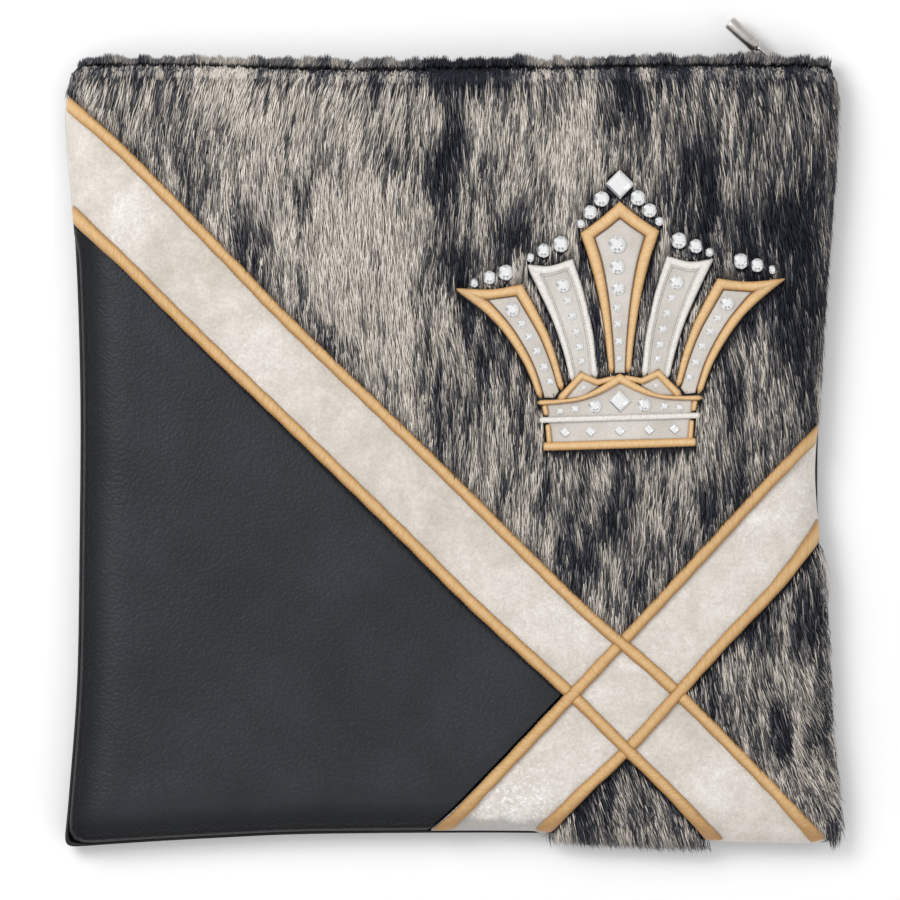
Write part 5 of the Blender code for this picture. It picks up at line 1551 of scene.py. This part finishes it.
def wall_strip(name, low, high, inner, outer, skin, node_name, step=1.0, columns=8):
    """A closed strip on the side wall. outer gives its front's distance out from x and the share across."""
    x = np.arange(WALL_LEFT, WALL_RIGHT, step)[:, None]
    t = np.linspace(0, 1, columns)[None, :]
    front = wall_place(x, low + (high - low) * t, outer(x, t))
    behind = wall_place(x, low + (high - low) * t[:, ::-1], inner)
    points = np.concatenate((front, behind), 1)
    count, ring_count = points.shape[:2]
    caps = [np.arange(ring_count)[None, :], (count - 1) * ring_count + np.arange(ring_count)[None, ::-1]]
    uv = np.stack(np.broadcast_arrays(x, np.concatenate((t, t[:, ::-1]), 1)), -1)
    made = put(name, points, [grid_faces(count, ring_count, True), *caps], skin, uv)
    turn_out(made)
    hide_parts(node_name)
    return made


def coil_height(x, t):
    """Humps COIL_PITCH apart, leaning one way above the middle of the coil and the other way below it."""
    lean = 0.5 * np.abs(t - 0.5)
    hump = 0.45 + 0.55 * np.cos(2 * math.pi * (x / COIL_PITCH + lean))
    return 0.35 + 0.6 * np.sin(math.pi * np.clip(t, 0, 1)) * hump


def tape_waver(wide):
    """A tape's face, which wavers along it."""
    return lambda x, t: -0.4 + 0.1 * np.sin(x / wide)


def facing_bulge(x, t):
    """The facing's round face."""
    return 0.3 + 0.5 * np.sin(math.pi * t)


zip_pieces = [
    wall_strip("zip_tape_front_cloth", 0.46, 0.62, -1.3, tape_waver(7), TAPE, "zip_tape_front"),
    wall_strip("zip_tape_back_cloth", 0.03, 0.24, -1.3, tape_waver(6), TAPE, "zip_tape_back"),
    wall_strip("zip_coil_teeth", 0.26, 0.44, -1.3, coil_height, TAPE, "zip_coil", 0.3, 9),
    wall_strip("fur_facing_hide", 0.65, 0.97, -1.5, facing_bulge, HIDE_SKIN, "fur_top_facing"),
]


def along_top(x, inner):
    """Points on the front's seam line along the top, with its rounded corners, and moved out from it by
    -inner."""
    below, above = np.full(len(x), 150.0), np.full(len(x), 190.0)
    seam_y = meet(lambda y: np.stack((x, y), -1), below, above, past_outline)
    place, _ = on_front(np.stack((x, seam_y), 1))
    return place + np.stack((0 * x, -inner, 0 * x), 1)


def tufted(count, spread):
    """Shared parts of the hair along the top: x, slow noise for its lean, its length factor and its tone."""
    x = rng.uniform(float(left_edge(176.0)) + 2, float(right_edge(176.0)) - 2, count)
    along = np.stack((x, np.zeros(count)), 1)
    lean = rng.normal(0.05, 0.16, count) + spread * value_noise(along, 9.0, 9.0, 51)
    longer = (1 + 0.2 * value_noise(along, 12.0, 9.0, 52)) * (1 + 0.25 * value_noise(along, 2.0, 9.0, 53))
    light = lightness(np.stack((x, np.full(count, 172.0)), 1)) + 0.15 * value_noise(along, 2.0, 9.0, 54)
    return x, lean, longer, 0.18 + 0.66 * smooth_step(light) + rng.normal(0, 0.1, count)


def facing_hair(count):
    """Hair on the facing. It stands out from the side wall like the pile of velvet, in tufts."""
    x, lean, longer, tones = tufted(count, 0.3)
    root = along_top(x, -rng.uniform(1.0, 2.2, count)) - rng.uniform(0, 1, (count, 1)) * (0, 0, 4.0)
    length = rng.uniform(4.6, 6.4, count) * longer
    rise = rng.normal(0.2, 0.2, count) + 0.55 * smooth_step((x - 138) / 10)
    ahead = np.stack((np.sin(lean), np.cos(lean) * np.cos(rise), np.sin(rise)), 1)
    middle = root + ahead * (0.5 * length)[:, None]
    tip = middle + (ahead + (0.03, 0.0, -0.15)) * (0.5 * length)[:, None]
    path = np.stack((root, middle, tip), 1)
    tones = tones - 0.09 + 0.08 * smooth_step((x - 20) / 40)
    normals = np.tile((0.0, 0.0, 1.0), (count, 1))
    return spindles("fur_fringe", path, rng.uniform(0.35, 0.7, count), tones, normals, 0.75)


def crest_hair(count):
    """Hair that starts on the rolled edge itself, rises over it and falls forward over the front's first one
    or two centimetres."""
    x, _, longer, _ = tufted(count, 0.3)
    seam = along_top(x, 0 * x)[:, :2]
    length = (rng.uniform(5.0, 17.0, count) * longer)[:, None]
    angle = heading(seam) + rng.normal(0, 0.07, count) + 0.12 * value_noise(seam, 5.0, 9.0, 21)
    ahead = ahead_of(angle)
    start = seam + ahead * rng.uniform(-0.5, 1.4, (count, 1))
    stations = np.stack((start, start + 0.2 * length * ahead, start + length * ahead), 1)
    lift = np.stack((0 * x + 0.9, rng.uniform(2.0, 3.1, count), rng.uniform(1.4, 2.8, count)), 1)
    path = lifted(stations, lift)
    tones = hair_tones(stations[:, 1])
    normals = np.tile((0.0, 0.3, 1.0), (count, 1))
    return spindles("fur_crest", path, rng.uniform(0.35, 0.65, count), tones, normals)


fringe = [facing_hair(12000), crest_hair(9000)]
print("fringe hairs", sum(len(made.data.vertices) for made in fringe) // 5)

# %% [markdown]
# Slider and pull
#
# The slider is a small plated casting with an arch. The pull is a barrel that was turned on a lathe: a
# profile spun round its axis, with a groove behind its shoulder. It hangs on a wire loop, which is a round
# section carried along a rounded rectangle. The pull turns about the slider's arch, so it rides on its body.

# %% Lathe, loop and plate
SLIDER_X = 148.0
PIVOT = np.array((SLIDER_X, float(top_edge(SLIDER_X)) + 4.1, 9.2))
PULL_TURN = math.radians(138.0)
WIRE_RADIUS = 0.625
PROFILE = (  # distance from the pin line, radius
    (4.95, 0.0), (4.95, 1.2), (5.1, 1.6), (5.35, 1.75), (6.2, 1.75), (6.35, 2.1), (6.55, 2.2),
    (6.65, 2.9), (7.0, 3.22), (7.5, 3.3), (10.7, 3.3), (10.85, 3.12), (11.1, 3.12), (11.25, 3.3),
    (23.0, 3.3), (23.6, 3.15), (23.95, 2.75), (24.05, 2.2), (24.05, 0.0),
)


def turned_in_plan(points):
    """From the pull's own axes (x out along it) to where it lies."""
    x, y, z = points[..., 0], points[..., 1], points[..., 2]
    c, s = math.cos(PULL_TURN), math.sin(PULL_TURN)
    return np.stack((c * x - s * y, s * x + c * y, z), -1) + PIVOT


def lathe(profile, sides=48):
    """A profile spun round x: rows of distance, and radius times (cos, sin)."""
    profile = np.array(profile)
    angle = np.arange(sides) * 2 * math.pi / sides
    x = np.broadcast_to(profile[:, :1], (len(profile), sides))
    return np.stack((x, profile[:, 1:] * np.cos(angle), profile[:, 1:] * np.sin(angle)), -1)


def closed_tube(path, radius, sides=14):
    """A round section round a closed path that lies in the plane y = 0."""
    ahead = np.roll(path, -1, axis=0) - np.roll(path, 1, axis=0)
    ahead /= np.linalg.norm(ahead, axis=1)[:, None]
    angle = np.arange(sides) * 2 * math.pi / sides
    normal = np.stack((ahead[:, 1], -ahead[:, 0]), 1)
    x = path[:, :1] + normal[:, :1] * radius * np.cos(angle)
    z = path[:, 1:] + normal[:, 1:] * radius * np.cos(angle)
    return np.stack((x, np.broadcast_to(radius * np.sin(angle), x.shape), z), -1)


turns = np.radians(np.arange(0, 91, 10))
near, far, bent = 1.1, 5.1, 1.1
loop = []
for number, place in enumerate(((far, bent), (near, bent), (near, -bent), (far, -bent))):
    loop.append(place + bent * ahead_of(turns + math.radians(90 * number)))
loop = np.vstack(loop)
wire = turned_in_plan(closed_tube(loop, WIRE_RADIUS))
barrel = turned_in_plan(lathe(PROFILE))
wire_faces = grid_faces(len(wire), wire.shape[1], True)
i = np.arange(wire.shape[1])
k = (i + 1) % wire.shape[1]
start = (len(wire) - 1) * wire.shape[1]
wire_faces = np.vstack((wire_faces, np.stack((start + i, start + k, k, i), 1)))
barrel_faces = grid_faces(len(barrel), barrel.shape[1], True) + wire.shape[0] * wire.shape[1]
points = np.vstack((wire.reshape(-1, 3), barrel.reshape(-1, 3)))
pull = put("zip_pull_barrel", points, [wire_faces, barrel_faces], NICKEL)
work = bmesh.new()
work.from_mesh(pull.data)
bmesh.ops.remove_doubles(work, verts=work.verts, dist=1e-6)
bmesh.ops.recalc_face_normals(work, faces=work.faces)
work.to_mesh(pull.data)
work.free()
pull.data.set_sharp_from_angle(angle=math.radians(38))
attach(pull, "pull")
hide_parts("zip_pull")
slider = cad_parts["zip_slider"]
slider.data.materials.clear()
slider.data.materials.append(NICKEL)
print("pull points", len(pull.data.vertices))

# %% [markdown]
# Areas of the sewn pieces, beside their sizes as cut
#
# Each sewn panel is a sheet that was cut flat. Its size as cut is given, and printed beside the area of its
# surface.

# %% Panel areas
def face_area(made):
    """Area of a piece's own surface, in square metres, before its wall is given."""
    areas = np.empty(len(made.data.polygons))
    made.data.polygons.foreach_get("area", areas)
    return float(areas.sum())


for made, flat in (
    (soft_panels["band_long"], (0.048, 0.505)),
    (soft_panels["band_short_upper"], (0.046, 0.142)),
    (soft_panels["band_short_lower"], (0.046, 0.096)),
    (soft_panels["leather_panel"], (0.215, 0.325)),
    (hides[0], (0.265, 0.372)),
    (hides[1], (0.070, 0.130)),
    (hides[2], (0.042, 0.062)),
):
    cut = min(face_area(made), flat[0] * flat[1])
    print(made.name, "area", round(cut, 5), "of", round(flat[0] * flat[1], 5))

FIELD_CUTS = {
    "far": (0.015, 0.056),
    "near": (0.013, 0.054),
    "middle": (0.025, 0.072),
    "base": (0.069, 0.028),
    "peak": (0.017, 0.010),
}
for made in crown_pieces:
    if made.name.endswith("_field"):
        flat = FIELD_CUTS[made.name.split("_")[1]]
        cut = min(face_area(made), flat[0] * flat[1])
        print(made.name, "area", round(cut * 1e6, 1), "of", round(flat[0] * flat[1] * 1e6, 1), "mm2")
cut = face_area(back) / 2
print(back.name, "area", round(cut, 5), "of", round(0.39 * 0.4, 5))

# %% [markdown]
# Table, light and camera
#
# The bag lies on a plain white table and is seen straight from above through a long lens, so its edges are
# not drawn in by perspective. One large soft light stands to the upper left and a weaker one opposite, which
# gives the stitching and hair a soft light side without hard shadows.

# %% Studio
WHITE_TABLE = finish("white_table", "#FAFAFA", 0.9)
edge = 9000
corners = [(-edge, -edge, 0), (edge, -edge, 0), (edge, edge, 0), (-edge, edge, 0)]
table = put("table", corners, [np.array([[0, 1, 2, 3]])], WHITE_TABLE)
table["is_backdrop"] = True


def softbox(name, place, size, power):
    """A square area light aimed at the bag. place and size are in metres."""
    lamp = bpy.data.lights.new(name, "AREA")
    lamp.shape = "SQUARE"
    lamp.size = size
    lamp.energy = power
    made = bpy.data.objects.new(name, lamp)
    made.location = place
    aim = np.array((0.0, 0.0, 0.02)) - np.array(place)
    made.rotation_euler = Vector(aim).to_track_quat("-Z", "Y").to_euler()
    bpy.context.collection.objects.link(made)
    return made


softbox("key", (-0.9, 0.7, 1.5), 0.9, 17.0)
softbox("fill", (1.3, -0.9, 1.3), 1.6, 5.0)
world = bpy.data.worlds.new("studio")
world.use_nodes = True
world.node_tree.nodes["Background"].inputs["Color"].default_value = (1.0, 1.0, 1.0, 1.0)
world.node_tree.nodes["Background"].inputs["Strength"].default_value = 0.72
bpy.context.scene.world = world
bpy.context.scene.view_settings.view_transform = "Standard"

PIXEL = 0.000465  # metres of the front's plane for each of the picture's 900 pixels
LENS = 400.0
SENSOR = 36.0
lens = bpy.data.cameras.new("camera")
lens.lens = LENS
lens.sensor_width = SENSOR
lens.clip_end = 100.0
camera = bpy.data.objects.new("camera", lens)
camera.location = (0.0, 2 * PIXEL, 0.022 + 900 * PIXEL * LENS / SENSOR)
bpy.context.collection.objects.link(camera)
bpy.context.scene.camera = camera
print("camera height", round(camera.location.z, 3), "m")

# %% Box sizes, and the end
low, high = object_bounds()
grown = [round((high[i] - low[i] - CAD_BOX[1][i] + CAD_BOX[0][i]) * 1000, 1) for i in range(3)]
print("grown by", grown, "mm")
